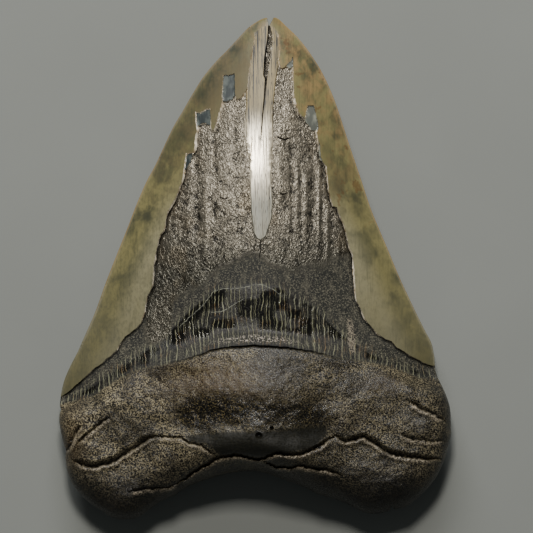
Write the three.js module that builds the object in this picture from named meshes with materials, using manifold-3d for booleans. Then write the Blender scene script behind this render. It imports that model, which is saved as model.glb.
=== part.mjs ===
// Fossil megalodon tooth, lying on its labial face with the lingual face up.
// Frame in mm: X across the tooth, +Y from the root to the tip, +Z up, underside resting on z = 0.
import * as THREE from 'three';
import { mergeVertices } from 'three/addons/utils/BufferGeometryUtils.js';
import Module from 'manifold-3d';

// Overall sizes
const WIDTH = 105.4;
const ROOT_ROUNDING = 8.5;
const LOBE_HEIGHT = 17.5;
const PROTUBERANCE_X = 2;
const PROTUBERANCE_SPREAD = 22;

// Depths of the carved layers below the outer enamel
const OUTER_ENAMEL = 0.85;
const INNER_ENAMEL = 0.4;
const BOURLETTE_DEPTH = 0.6;
const SPLIT_DEPTH = 2.2;
const CRACK_DEPTH = 0.9;
const CRACK_WIDTH = 0.8;

// Grid of the body and of the carved floors
const BODY_COLUMNS = 56;
const FRONT_ROWS = 28;
const BACK_ROWS = 14;
const FLOOR_CELL_X = 1.8;
const FLOOR_CELL_Y = 4.6;
const CRACK_STEP = 3;

// Outline of the tooth, both halves from left to right
const UPPER_OUTLINE = [
  [-52.7, -41.3], [-52.3, -34.6], [-51.5, -30.8], [-47.8, -22.7], [-43.1, -12], [-37.3, 3.5],
  [-32, 17], [-26.8, 27.9], [-19.5, 42.3], [-13.9, 51.6], [-10.3, 55.9], [-5, 61.4], [-1.9, 64.7],
  [0.5, 66.4], [3.5, 67.5], [4.9, 67.6], [6.4, 67], [11.2, 62.4], [15.7, 56.5], [20.2, 48.1],
  [25.3, 33.4], [30.1, 19], [36, 4.3], [40.9, -7.2], [45.8, -17.1], [47.6, -20.6], [48.2, -26.5],
  [50.3, -31.9], [52.3, -37.6], [52.7, -44.8],
];
const LOWER_OUTLINE = [
  [-52.7, -41.3], [-51.4, -47.8], [-50.4, -55], [-48.7, -58.8], [-45.2, -62.6], [-38.4, -67.1],
  [-35.4, -67.6], [-32, -67.3], [-28.9, -65.4], [-25.5, -62.8], [-19.8, -59.8], [-10.7, -56.2],
  [-3, -54.6], [2, -54.9], [9.9, -57.7], [16.8, -60.8], [23.2, -62.8], [28.9, -65.6], [31.9, -66.2],
  [38.7, -64.7], [41.4, -63.7], [47.1, -58.4], [51.1, -50.9], [52.7, -44.8],
];

// Line where the crown meets the root on the lingual face
const ROOT_LINE = [
  [-54, -37.2], [-48.2, -35.7], [-43.7, -34.6], [-41.1, -32.7], [-33.5, -28.1], [-25.9, -26.1],
  [-20.2, -25.1], [-14.5, -23.2], [-10.7, -21.5], [-5.1, -20.9], [5.6, -21.3], [15.6, -22.6],
  [21.3, -24], [32.7, -25.7], [40.3, -27.9], [43.3, -29.3], [50, -30.6],
];

// Broken inner edge of the left enamel strip, from the tip down to the corner
const LEFT_BREAK = [
  [-2.5, 48.1], [-3.7, 46.1], [-4.5, 45.4], [-5.4, 46.7], [-5.5, 52.4], [-8.7, 52.1], [-9, 44.5],
  [-9.8, 41.6], [-10.9, 37.9], [-11.3, 36.9], [-11.8, 37.6], [-12.1, 42.9], [-13.1, 42.9],
  [-14.8, 41.8], [-16.1, 42.1], [-16.1, 39.7], [-15.7, 37], [-16.2, 35.1], [-16.6, 31.4],
  [-18.6, 30.9], [-19.3, 26.1], [-20.4, 21.5], [-22.9, 16.3], [-24.3, 11.6], [-25.6, 9],
  [-27.3, 0.8], [-27.7, -4.9], [-29, -7.7], [-29.7, -11.7], [-30.8, -14.8], [-33.1, -17.1],
  [-35, -18.4], [-37.2, -21.9], [-40.1, -24.4], [-43, -26.8], [-47.1, -30.5], [-50.9, -34.3],
  [-54, -35.2],
];

// Broken inner edge of the right enamel strip, from the corner up to the tip
const RIGHT_BREAK = [
  [50, -26.6], [47.2, -26.2], [44, -24.7], [38.2, -21.4], [34.7, -18.9], [31.6, -16.2],
  [29.5, -13.6], [27.3, -9], [26.6, 0], [25.4, 5.6], [24.1, 11.2], [22.2, 16.1], [20.9, 16.6],
  [19.8, 20.9], [19.2, 27.5], [18.1, 28.6], [17.5, 32.9], [16.6, 36.5], [17.1, 37.8],
  [16.4, 41.6], [15.8, 43.7], [14.1, 43.8], [13.5, 40.5], [12.5, 41], [11, 44.6], [10.4, 47.2],
  [10.2, 56.9], [8, 54.2], [7.2, 53.7], [6.4, 56.1],
];

// Tongue of inner enamel left standing down the middle, from its top right round to its top left
const TONGUE = [
  [5.8, 53.1], [4.9, 45.9], [4.5, 32.9], [4.1, 21.8], [4.5, 17.5], [3.5, 10.9], [2.7, 8.6],
  [1.4, 7.6], [0.6, 8.1], [-0.1, 9.3], [-0.9, 16.2], [-1.2, 28.8], [-2.2, 32.4], [-2.6, 35.5],
];

// Where the outer enamel has come off the tongue, drawn wider than the tongue at its sides
const TONGUE_FIELD = [
  [-3.2, 44], [-2.2, 48.5], [-1.7, 53.1], [-1.1, 57.2], [-0.3, 61.6], [0.4, 63.6], [6.2, 63],
  [6.6, 61.5], [6.7, 56.5], [6.4, 53], [5.8, 46], [5.4, 33], [5, 22], [5.4, 17.5], [4.2, 10],
  [2.6, 6.9], [0.8, 6.9], [-1.2, 9], [-1.9, 16.2], [-2.2, 28], [-3.4, 34],
];

// Split that opens the tip, and the notch where it leaves the tooth
const TIP_SPLIT = [
  [3.5, 68.6], [3.4, 64], [3.1, 61], [2.3, 55.1], [2.1, 51.8], [2.3, 45.9], [1.8, 41],
  [1.3, 34.3], [1.7, 34.3], [2.4, 41], [2.9, 45.9], [3.4, 51], [4.3, 56.5], [4.8, 61],
  [4.9, 64], [4.6, 68.6],
];
const TIP_NOTCH = [[3.0, 69], [3.5, 65.2], [3.9, 65.2], [5, 69]];

// Long cracks of the root
const ROOT_CRACKS = [
  [[-47.6, -52.5], [-43, -52.9], [-39.2, -52], [-33.9, -49], [-31.6, -47.1], [-26.5, -44.9]],
  [[-22.5, -45.4], [-19.5, -45.4], [-15.3, -47.1], [-13.4, -48.2], [-9.6, -50.9], [-2.4, -50.5],
    [1.3, -51.2], [5.4, -49.7], [13.7, -49.2], [18.7, -46.7], [21.3, -44.8]],
  [[-10.7, -52], [-13.4, -53.9], [-18.7, -56.5], [-24.6, -59.2], [-32.3, -60.3]],
  [[-50.6, -49.5], [-48.9, -45.7], [-47.8, -43.5]],
  [[-45.6, -44.8], [-42.6, -42.5], [-39.9, -41]],
  [[22, -45.1], [25.9, -47.1], [28.9, -45.2], [30.8, -45.7], [35.3, -49.2], [38.4, -50.1],
    [47.5, -51.2]],
  [[5.4, -52.1], [9.2, -53.3], [17.6, -53.9], [23.2, -55.8]],
  [[42.2, -36.1], [44.4, -38], [49.7, -39.5]],
  [[38.4, -44.8], [42.2, -45.9], [46, -46.5]],
];

// Crevice under the lip where the crown ends in the middle of the tooth
const NECK_CREVICE = [
  [-20.2, -25.2], [-14.5, -23.4], [-10.7, -21.8], [-5.1, -21.2], [1.3, -21.1], [10, -22],
  [15.6, -22.9],
];

// Foramina of the root: x, y, radius
const FORAMINA = [[1, -44.8, 0.9], [4.5, -42.8, 0.6]];

// Flutes of the bare dentine: x, half width, depth (negative for a ridge)
const FLUTES = [
  [-20, 2.2, 0.3], [-15.4, 1.2, 0.5], [-13.2, 1.2, -0.3], [-7, 2, 0.2], [9.4, 1.2, 0.35],
  [12, 1.2, -0.25], [14.8, 1.2, 0.35], [17.6, 1.4, -0.25],
];

// Heights along the middle of the tooth, given as y, z
const FRONT_PROFILE = [
  [-70, 22], [-56, 24.5], [-48, 26.2], [-42, 26.5], [-34, 26], [-26, 24.3], [-22, 22.6],
  [-18, 21.1], [-10, 20.3], [0, 19.5], [15, 17], [30, 13.8], [45, 10], [57, 6.6], [64, 4.5],
  [70, 3.4],
];
const BACK_PROFILE = [
  [-70, 4], [-58, 2.4], [-48, 1.9], [-30, 1.6], [0, 1.2], [20, 0.8], [36, 0.6], [50, 0.7],
  [60, 1.2], [70, 2.2],
];
const RIM_PROFILE = [
  [-70, 9.4], [-45, 9.5], [-35, 9], [-20, 7.6], [0, 5.6], [35, 4], [60, 3.2], [70, 3],
];

// Spots on which the tooth rests: x, y, spread, how far the underside dips there
const REST_SPOTS = [[-31, -51, 9, 3], [31, -51, 9, 3], [2.5, 36, 9, 1.2]];

const toVectors = (points) => points.map(([x, y]) => new THREE.Vector2(x, y));

// Value of a left-to-right line at one place
function lookUp(line, at) {
  let low = 0;
  let high = line.length - 1;
  if (at <= line[0].x) {
    return line[0].y;
  }
  if (at >= line[high].x) {
    return line[high].y;
  }
  while (high - low > 1) {
    const middle = (low + high) >> 1;
    if (line[middle].x <= at) {
      low = middle;
    } else {
      high = middle;
    }
  }
  const share = (at - line[low].x) / Math.max(line[high].x - line[low].x, 1e-9);
  return THREE.MathUtils.lerp(line[low].y, line[high].y, share);
}

const smoothLine = (points, samples) => new THREE.SplineCurve(toVectors(points)).getPoints(samples);

const upperLine = smoothLine(UPPER_OUTLINE, 240);
const lowerLine = smoothLine(LOWER_OUTLINE, 160);
const rootLine = toVectors(ROOT_LINE);
const frontProfile = smoothLine(FRONT_PROFILE, 120);
const backProfile = smoothLine(BACK_PROFILE, 80);
const rimProfile = smoothLine(RIM_PROFILE, 60);

// Cutting edges as lines of x over y, for the left and the right side
const tipIndex = upperLine.reduce((best, p, i) => (p.y > upperLine[best].y ? i : best), 0);
const leftEdge = upperLine.slice(0, tipIndex + 1).map((p) => new THREE.Vector2(p.y, p.x));
const rightEdge = upperLine.slice(tipIndex).reverse().map((p) => new THREE.Vector2(p.y, p.x));

const rimLoop = [...upperLine, ...lowerLine.slice(1, -1).reverse()];

function distanceToRim(x, y) {
  let nearest = Infinity;
  for (let i = 0; i < rimLoop.length; i += 1) {
    const a = rimLoop[i];
    const b = rimLoop[(i + 1) % rimLoop.length];
    const length2 = (b.x - a.x) ** 2 + (b.y - a.y) ** 2;
    const raw = ((x - a.x) * (b.x - a.x) + (y - a.y) * (b.y - a.y)) / Math.max(length2, 1e-9);
    const t = THREE.MathUtils.clamp(raw, 0, 1);
    const gap = (x - a.x - t * (b.x - a.x)) ** 2 + (y - a.y - t * (b.y - a.y)) ** 2;
    nearest = Math.min(nearest, gap);
  }
  return Math.sqrt(nearest);
}

// Share of the full thickness at one place of the crown: 0 on a cutting edge, 1 in the middle
function crownShare(x, y, sharpness) {
  const left = lookUp(leftEdge, y);
  const right = lookUp(rightEdge, y);
  const across = (x - (left + right) / 2) / Math.max((right - left) / 2, 0.05);
  return Math.max(0, 1 - across * across) ** sharpness;
}

function rootShare(x, y) {
  const inward = Math.min(distanceToRim(x, y) / ROOT_ROUNDING, 1);
  return Math.sqrt(Math.max(0, 1 - (1 - inward) ** 2));
}

const rootWeight = (x, y) => THREE.MathUtils.smoothstep(lookUp(rootLine, x) - y, -1.5, 5);

const bell = (offset, width) => Math.exp(-((offset / width) ** 2));

function frontHeight(x, y) {
  const rim = lookUp(rimProfile, y);
  const middle = lookUp(frontProfile, y);
  const crown = rim + (middle - rim) * crownShare(x, y, 1.2);
  const weight = rootWeight(x, y);
  if (weight === 0) {
    return crown;
  }
  const swell = bell(x - PROTUBERANCE_X, PROTUBERANCE_SPREAD);
  const top = THREE.MathUtils.lerp(LOBE_HEIGHT, middle, swell);
  const root = rim + (top - rim) * rootShare(x, y);
  return THREE.MathUtils.lerp(crown, root, weight);
}

function backHeight(x, y) {
  const rim = lookUp(rimProfile, y);
  const weight = rootWeight(x, y);
  const crown = crownShare(x, y, 0.6);
  const share = weight === 0 ? crown : THREE.MathUtils.lerp(crown, rootShare(x, y), weight);
  let floor = lookUp(backProfile, y);
  for (const [spotX, spotY, spread, dip] of REST_SPOTS) {
    floor -= dip * bell(Math.hypot(x - spotX, y - spotY), spread);
  }
  return rim - (rim - floor) * share;
}

// Closed mesh made of a front and a back sheet of columns that share the rim
function bodyGeometry() {
  const positions = [];
  const indices = [];
  const addPoint = (x, y, z) => positions.push(x, y, z) / 3 - 1;
  const bend = Math.PI * 0.465;
  const columnX = (i) => (WIDTH / 2) * (Math.sin(bend * (2 * i / BODY_COLUMNS - 1)) / Math.sin(bend));
  const rowShare = (j, rows) => {
    const even = j / rows;
    return THREE.MathUtils.lerp(even, (1 - Math.cos(Math.PI * even)) / 2, 0.85);
  };
  const frontColumns = [];
  const backColumns = [];
  for (let i = 0; i <= BODY_COLUMNS; i += 1) {
    const x = columnX(i);
    if (i === 0 || i === BODY_COLUMNS) {
      const y = lookUp(lowerLine, x);
      const end = addPoint(x, y, lookUp(rimProfile, y));
      frontColumns.push(new Array(FRONT_ROWS + 1).fill(end));
      backColumns.push(new Array(BACK_ROWS + 1).fill(end));
      continue;
    }
    const low = lookUp(lowerLine, x);
    const high = lookUp(upperLine, x);
    const bottom = addPoint(x, low, lookUp(rimProfile, low));
    const top = addPoint(x, high, lookUp(rimProfile, high));
    const fill = (rows, height) => {
      const column = [bottom];
      for (let j = 1; j < rows; j += 1) {
        const y = THREE.MathUtils.lerp(low, high, rowShare(j, rows));
        column.push(addPoint(x, y, height(x, y)));
      }
      column.push(top);
      return column;
    };
    frontColumns.push(fill(FRONT_ROWS, frontHeight));
    backColumns.push(fill(BACK_ROWS, backHeight));
  }
  const addFace = (a, b, c) => {
    if (a !== b && b !== c && c !== a) {
      indices.push(a, b, c);
    }
  };
  for (let i = 0; i < BODY_COLUMNS; i += 1) {
    for (let j = 0; j < FRONT_ROWS; j += 1) {
      const [a, b] = [frontColumns[i][j], frontColumns[i + 1][j]];
      const [c, d] = [frontColumns[i + 1][j + 1], frontColumns[i][j + 1]];
      addFace(a, b, c);
      addFace(a, c, d);
    }
    for (let j = 0; j < BACK_ROWS; j += 1) {
      const [a, b] = [backColumns[i][j], backColumns[i + 1][j]];
      const [c, d] = [backColumns[i + 1][j + 1], backColumns[i][j + 1]];
      addFace(a, c, b);
      addFace(a, d, c);
    }
  }
  const geometry = new THREE.BufferGeometry();
  geometry.setAttribute('position', new THREE.Float32BufferAttribute(positions, 3));
  geometry.setIndex(indices);
  return geometry;
}

const wasm = await Module();
wasm.setup();

function toSolid(geometry) {
  const bare = geometry.clone();
  bare.deleteAttribute('normal');
  bare.deleteAttribute('uv');
  const merged = mergeVertices(bare, 1e-5);
  return new wasm.Manifold(new wasm.Mesh({
    numProp: 3,
    vertProperties: new Float32Array(merged.attributes.position.array),
    triVerts: new Uint32Array(merged.index.array),
  }));
}

// Upright prism over an outline, tall enough to pass through the whole tooth
function prism(outline) {
  const shape = new THREE.Shape(toVectors(outline));
  const geometry = new THREE.ExtrudeGeometry(shape, { depth: 60, bevelEnabled: false, steps: 1 });
  geometry.translate(0, 0, -15);
  return toSolid(geometry);
}

// Everything above a floor, over the bounding box of an outline
function spaceAbove(outline, floor, cellX, cellY) {
  const box = new THREE.Box2().setFromPoints(toVectors(outline)).expandByScalar(1);
  const across = Math.ceil((box.max.x - box.min.x) / cellX);
  const along = Math.ceil((box.max.y - box.min.y) / cellY);
  const geometry = new THREE.BoxGeometry(box.max.x - box.min.x, box.max.y - box.min.y, 1, across, along, 1);
  const centre = box.getCenter(new THREE.Vector2());
  const place = geometry.attributes.position;
  for (let i = 0; i < place.count; i += 1) {
    const x = place.getX(i) + centre.x;
    const y = place.getY(i) + centre.y;
    place.setXYZ(i, x, y, place.getZ(i) > 0 ? 38 : floor(x, y));
  }
  return toSolid(geometry);
}

const carve = (body, outline, floor, cellX = FLOOR_CELL_X, cellY = FLOOR_CELL_Y) => (
  body.subtract(prism(outline).intersect(spaceAbove(outline, floor, cellX, cellY)))
);

// How far the floor of the bare field lies below the outer enamel
function fieldDepth(x, y) {
  const aboveRoot = y - lookUp(rootLine, x);
  const bare = THREE.MathUtils.smoothstep(aboveRoot, 14, 22);
  let depth = THREE.MathUtils.lerp(BOURLETTE_DEPTH, OUTER_ENAMEL, bare);
  depth -= 0.35 * THREE.MathUtils.smoothstep(y, 44, 48);
  for (const [fluteX, width, extra] of FLUTES) {
    const fade = bare * (1 - THREE.MathUtils.smoothstep(y, 30, 42));
    depth += extra * fade * bell(x - fluteX, width);
  }
  depth *= THREE.MathUtils.smoothstep(distanceToRim(x, y), 0, 2.5);
  const lip = (1 - THREE.MathUtils.smoothstep(aboveRoot, 0.6, 3)) * bell(x - 0.5, 19);
  return THREE.MathUtils.lerp(depth, -0.15, lip);
}

function frontNormal(x, y) {
  const reach = 0.4;
  const slopeX = (frontHeight(x + reach, y) - frontHeight(x - reach, y)) / (2 * reach);
  const slopeY = (frontHeight(x, y + reach) - frontHeight(x, y - reach)) / (2 * reach);
  return new THREE.Vector3(-slopeX, -slopeY, 1).normalize();
}

// Points of a line on the front surface, no further apart than one crack step
function pointsOnFront(line) {
  const corners = toVectors(line);
  const places = [corners[0]];
  for (let i = 1; i < corners.length; i += 1) {
    const count = Math.ceil(corners[i].distanceTo(corners[i - 1]) / CRACK_STEP);
    for (let k = 1; k <= count; k += 1) {
      places.push(corners[i - 1].clone().lerp(corners[i], k / count));
    }
  }
  return places.map((p) => new THREE.Vector3(p.x, p.y, frontHeight(p.x, p.y)));
}

// V-shaped groove along a line, square to the surface and running out at both ends
function groove(line, width, depth) {
  const points = pointsOnFront(line);
  const last = points.length - 1;
  const positions = [];
  const indices = [];
  points.forEach((point, i) => {
    const normal = frontNormal(point.x, point.y);
    const along = points[Math.min(i + 1, last)].clone().sub(points[Math.max(i - 1, 0)]);
    const side = new THREE.Vector3().crossVectors(normal, along).normalize();
    const fade = i === 0 || i === last ? 0.2 : 1;
    const above = point.clone().addScaledVector(normal, depth);
    const below = point.clone().addScaledVector(normal, -depth * fade);
    const left = above.clone().addScaledVector(side, width * fade);
    const right = above.clone().addScaledVector(side, -width * fade);
    positions.push(...left.toArray(), ...right.toArray(), ...below.toArray());
  });
  for (let i = 0; i < last; i += 1) {
    for (const [k, m] of [[0, 1], [1, 2], [2, 0]]) {
      const [a, b, c, d] = [3 * i + k, 3 * i + m, 3 * i + 3 + m, 3 * i + 3 + k];
      indices.push(a, b, c, a, c, d);
    }
  }
  indices.push(0, 2, 1, 3 * last, 3 * last + 1, 3 * last + 2);
  const geometry = new THREE.BufferGeometry();
  geometry.setAttribute('position', new THREE.Float32BufferAttribute(positions, 3));
  geometry.setIndex(indices);
  return toSolid(geometry);
}

function foramen(x, y, radius) {
  const geometry = new THREE.ConeGeometry(radius * 1.5, 3, 10);
  geometry.rotateX(-Math.PI / 2);
  geometry.translate(x, y, frontHeight(x, y));
  return toSolid(geometry);
}

let tooth = toSolid(bodyGeometry());
const underside = new THREE.BoxGeometry(WIDTH + 10, 160, 10);
underside.translate(0, 0, -5);
tooth = tooth.subtract(toSolid(underside));

const bareField = [...LEFT_BREAK, ...ROOT_LINE, ...RIGHT_BREAK, ...TONGUE];
tooth = carve(tooth, bareField, (x, y) => frontHeight(x, y) - fieldDepth(x, y));
tooth = carve(tooth, TONGUE_FIELD, (x, y) => (
  frontHeight(x, y) - INNER_ENAMEL * (1 - THREE.MathUtils.smoothstep(y, 55, 64))
));
tooth = carve(tooth, TIP_SPLIT, (x, y) => (
  frontHeight(x, y) - THREE.MathUtils.lerp(0.7, SPLIT_DEPTH, THREE.MathUtils.smoothstep(y, 44, 56))
));
tooth = tooth.subtract(prism(TIP_NOTCH));
for (const line of ROOT_CRACKS) {
  tooth = tooth.subtract(groove(line, CRACK_WIDTH, CRACK_DEPTH));
}
tooth = tooth.subtract(groove(NECK_CREVICE, CRACK_WIDTH, CRACK_DEPTH));
for (const [x, y, radius] of FORAMINA) {
  tooth = tooth.subtract(foramen(x, y, radius));
}

function toGeometry(solid) {
  const mesh = solid.getMesh();
  const geometry = new THREE.BufferGeometry();
  geometry.setAttribute('position', new THREE.BufferAttribute(mesh.vertProperties, 3));
  geometry.setIndex(new THREE.BufferAttribute(mesh.triVerts, 1));
  geometry.computeVertexNormals();
  return geometry;
}

const stone = new THREE.MeshStandardMaterial({ color: 0x6b6354, roughness: 0.5, metalness: 0 });
stone.name = 'fossil';

const mesh = new THREE.Mesh(toGeometry(tooth), stone);
mesh.name = 'tooth';

const group = new THREE.Group();
group.name = 'fossil_tooth';
group.add(mesh);

export default group;
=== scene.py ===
"""Looks of a fossil megalodon tooth that lies on its outer face.

The tooth is one piece. Its outlines, breaks and cracks are given in millimetres in the plane of
the table, X across the tooth and Y from the root to the tip, and are scaled to metres when a mesh
is made from them.
"""

from __future__ import annotations

import logging
import math
from dataclasses import dataclass, field
from enum import Enum
from typing import Any, Sequence

import bpy
import numpy as np
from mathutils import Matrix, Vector, kdtree
from mathutils.geometry import delaunay_2d_cdt


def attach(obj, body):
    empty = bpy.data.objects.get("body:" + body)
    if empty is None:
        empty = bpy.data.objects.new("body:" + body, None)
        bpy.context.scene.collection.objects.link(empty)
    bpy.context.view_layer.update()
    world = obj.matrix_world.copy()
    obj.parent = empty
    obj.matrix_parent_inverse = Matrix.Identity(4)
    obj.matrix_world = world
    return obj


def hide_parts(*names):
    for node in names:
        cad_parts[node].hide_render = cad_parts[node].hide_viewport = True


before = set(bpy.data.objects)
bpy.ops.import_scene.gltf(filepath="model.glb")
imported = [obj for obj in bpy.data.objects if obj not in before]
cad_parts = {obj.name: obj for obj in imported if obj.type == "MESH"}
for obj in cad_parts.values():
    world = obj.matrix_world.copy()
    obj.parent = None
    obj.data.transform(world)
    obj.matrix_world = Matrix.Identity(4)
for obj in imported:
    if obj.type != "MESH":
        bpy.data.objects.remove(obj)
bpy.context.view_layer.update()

LOG = logging.getLogger("tooth")
MM = 0.001

Array = np.ndarray
Points = Sequence[tuple[float, float]]
Color = tuple[float, float, float, float]

UPPER_OUTLINE: Points = (
    (-52.7, -41.3), (-52.4, -35.6), (-51.5, -30.8), (-49.8, -26.6), (-47.8, -22.7), (-45.5, -17.5),
    (-43.1, -12), (-40.3, -4.2), (-37.3, 3.5), (-34.5, 10.5), (-32, 17), (-29.3, 23.2),
    (-26.8, 27.9), (-22.4, 37.3), (-19.5, 42.3), (-16.8, 47), (-13.9, 51.6), (-10.3, 55.9),
    (-8.1, 58.1), (-5, 61.4), (-1.9, 64.7), (0.5, 66.4), (2.1, 67.2), (3.4, 67.5), (4.9, 67.6),
    (6.4, 67), (8.5, 65), (11.2, 62.4), (13.6, 59.5), (15.7, 56.5), (17.8, 53.1), (20.2, 48.1),
    (22.2, 42.9), (25.3, 33.4), (28.4, 24.2), (30.1, 19), (31.9, 14), (36, 4.3), (39, -2.9),
    (43.6, -12.7), (45.8, -17.1), (47.4, -20.2), (48.2, -24), (48.4, -27), (49, -29.3),
    (50.3, -31.9), (51.6, -34.9), (52.5, -38.5), (52.7, -44.8),
)
LOWER_OUTLINE: Points = (
    (-52.7, -41.3), (-52.2, -44.3), (-51.4, -47.8), (-51, -51.3), (-50.4, -55), (-48.7, -58.8),
    (-45.2, -62.6), (-41.4, -65.3), (-38.4, -67.1), (-35.4, -67.6), (-32, -67.3), (-28.9, -65.4),
    (-25.5, -62.8), (-21.7, -61.3), (-19.8, -59.8), (-16.4, -58.1), (-10.7, -56.2), (-5.1, -54.9),
    (1.3, -54.8), (6.2, -56.4), (9.9, -57.7), (13.7, -59.2), (16.8, -60.8), (19.8, -61.7),
    (23.2, -62.8), (25.9, -64.1), (28.9, -65.6), (31.9, -66.2), (35, -65.7), (38.7, -64.7),
    (41.4, -63.7), (44.1, -61.5), (47.1, -58.4), (49.4, -55), (51.1, -50.9), (52.7, -44.8),
)
TIP_NOTCH: Points = ((3.2, 67.5), (3.7, 65.1), (5.0, 67.6))

ROOT_LINE: Points = (
    (-54, -37.2), (-48.2, -35.7), (-43.7, -34.6), (-41.1, -32.7), (-36.9, -30), (-33.5, -28.1),
    (-29.7, -27), (-25.9, -26.1), (-20.2, -25.1), (-14.5, -23.3), (-11.4, -22.1), (-8.7, -21.5),
    (-4.9, -21.2), (-0.6, -20.9), (4.8, -21.2), (9.4, -21.6), (15.6, -22.6), (21.3, -24),
    (27, -24.7), (32.7, -25.7), (36.5, -26.6), (40.3, -27.9), (43.3, -29.3), (54, -31),
)
LEFT_BREAK: Points = (
    (-2.2, 47.8), (-2.9, 47.3), (-3.7, 46.1), (-4.5, 45.4), (-5.1, 45.6), (-5.4, 46.7),
    (-5.5, 52.4), (-7.1, 52), (-8.7, 52.1), (-9, 44.5), (-9.8, 41.6), (-10.9, 37.9), (-11.2, 37),
    (-11.8, 37.6), (-12.1, 42.9), (-13.1, 42.9), (-14.8, 41.8), (-16.1, 42.1), (-16.1, 39.7),
    (-15.7, 37), (-16.2, 35.1), (-16.4, 31.8), (-16.9, 31.1), (-18.6, 30.9), (-18.8, 29.7),
    (-19.3, 26.1), (-19.7, 23.6), (-20.4, 21.5), (-21.2, 19.4), (-22.1, 17.6), (-22.9, 16.3),
    (-23.5, 15.3), (-23.9, 13.7), (-24.3, 11.6), (-24.7, 9.9), (-25.6, 9), (-26, 7.5),
    (-26.4, 5.6), (-26.9, 3.2), (-27.3, 0.8), (-27.5, -2.5), (-27.7, -4.9), (-28.3, -6.3),
    (-29, -7.7), (-29.4, -9.6), (-29.7, -11.7), (-30.3, -13.5), (-30.8, -14.8), (-31.8, -16),
    (-33.1, -17.1), (-35, -18.4), (-36.2, -20.2), (-37.2, -21.9), (-38.9, -23.7), (-40.1, -24.4),
    (-41.4, -25.8), (-43, -26.8), (-44.9, -28.5), (-47.1, -30.5), (-49.6, -32.8), (-54, -35.9),
)
RIGHT_BREAK: Points = (
    (54, -27), (47.2, -26.2), (45.4, -25.5), (44, -24.7), (41.9, -23.7), (40, -22.4),
    (38.2, -21.4), (36.7, -19.7), (34.7, -18.9), (32.8, -17.5), (31.6, -16.2), (30.3, -14.6),
    (29.5, -13.6), (28.7, -11.7), (28.1, -10.4), (27.3, -9), (27, -6.7), (26.8, -3.4), (26.6, 0),
    (26.2, 3.6), (25.4, 5.6), (24.9, 7.5), (24.5, 9.3), (24.1, 11.2), (23.2, 13.2), (22.4, 14.9),
    (22, 16.3), (20.9, 16.6), (20.4, 18.4), (19.8, 20.9), (19.5, 24.4), (19.2, 27.5),
    (18.3, 28.4), (17.6, 30.1), (17.5, 32.9), (16.8, 35.1), (16.6, 36.5), (17.1, 37.8),
    (16.4, 41.6), (15.8, 43.7), (14.1, 43.8), (13.7, 42.1), (13.5, 40.5), (12.9, 40.7),
    (12.5, 41), (11.7, 42.1), (11, 44.6), (10.4, 47.2), (10.4, 51), (10.3, 55.2), (10.2, 56.9),
    (9.1, 55.5), (8, 54.2), (7.2, 53.7), (6.9, 54.5), (6.4, 56.1),
)
TONGUE: Points = (
    (6.4, 56.1), (5.8, 53.1), (5.3, 50), (4.9, 45.9), (4.6, 40.7), (4.5, 32.9), (4.2, 26.7),
    (4.1, 21.8), (4.5, 17.5), (4.3, 13.5), (3.5, 10.9), (2.7, 8.6), (1.4, 7.6), (0.6, 8.1),
    (-0.1, 9.3), (-0.5, 12.4), (-0.9, 16.2), (-1.1, 23.7), (-1.2, 28.8), (-1.6, 29.8),
    (-2.2, 32.4), (-2.6, 35.5), (-2.5, 39.4), (-2.2, 45.3), (-2.2, 47.8),
)
UPPER_LAYER: Points = (
    (-2.2, 47.8), (-2.1, 49), (-1.7, 53.1), (-1.1, 57.2), (-0.3, 61.6), (0.2, 63.6), (1.8, 64.9),
    (3.5, 65.3), (5.3, 64.9), (6.5, 61.8), (6.7, 57.2), (6.4, 56.1),
)
WINDOWS: tuple[Points, ...] = (
    ((-9.6, 53), (-5, 53), (-5.2, 46.4), (-6.5, 45.1), (-9.4, 44.3)),
    ((-16.8, 43), (-12.6, 43.6), (-11.9, 42), (-12, 38.2), (-13.8, 38.9), (-15.4, 38.1),
     (-16.4, 37.4)),
    ((-19.2, 31.8), (-16.4, 31.6), (-17.2, 28.8), (-18.2, 26.7), (-19.7, 26)),
    ((7.6, 55), (10.9, 57.8), (10.8, 54.4), (9.2, 53.6)),
    ((13, 44.4), (16.8, 44.6), (17.4, 41), (17.3, 37), (15.3, 37), (13.2, 39.8)),
    ((16.9, 35.8), (18.6, 34.5), (19.4, 31.3), (18.4, 28.3), (17.2, 29.2)),
)
FLANGE: Points = (
    (-29.9, -15.9), (-29.3, -18.4), (-28.3, -20.4), (-25.7, -20.3), (-23, -17.8), (-22.5, -11.9),
    (-22.2, -8.4), (-23.4, -4), (-25.6, -6), (-27.3, -11.9),
)
SMOOTH_TOP: Points = (
    (-54, -35.2), (-48.4, -31.9), (-43, -27), (-37, -21.6), (-33, -17.3), (-29.5, -14.6),
    (-27.1, -16.8), (-25.7, -18.9), (-22.7, -17.8), (-22.2, -12.4), (-21.9, -9.4), (-17.7, -6.9),
    (-15.7, -5.9), (-13.5, -5.3), (-11.8, -3), (-8.9, -0.1), (-5.2, 0.7), (-3.1, 2), (1.4, 2.4),
    (5.1, -0.5), (7.2, -1.3), (10.3, -1.8), (14.1, -1.1), (18.6, 0), (21.5, 1.6), (25.6, 1.6),
    (26.7, -6), (27.8, -10.6), (31, -16), (38, -21.4), (54, -26.5),
)
BAND_TOP: Points = (
    (-54, -36.4), (-48.2, -34), (-43.8, -31.3), (-39.2, -28.1), (-35.2, -25.4), (-31.1, -22.7),
    (-27.9, -20.8), (-24.4, -18.4), (-22.5, -16.2), (-20.3, -14), (-17.6, -11.2), (-14.9, -9),
    (-11.7, -6.2), (-8.4, -5.2), (-4.1, -4.9), (0.2, -4.2), (4.5, -4.9), (8.3, -6.2),
    (12.1, -8), (15.9, -10.4), (19.1, -13.5), (22.4, -16.8), (26.1, -19.5), (30.5, -22.2),
    (34.8, -24.3), (40.4, -26.5), (54, -29),
)
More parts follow.
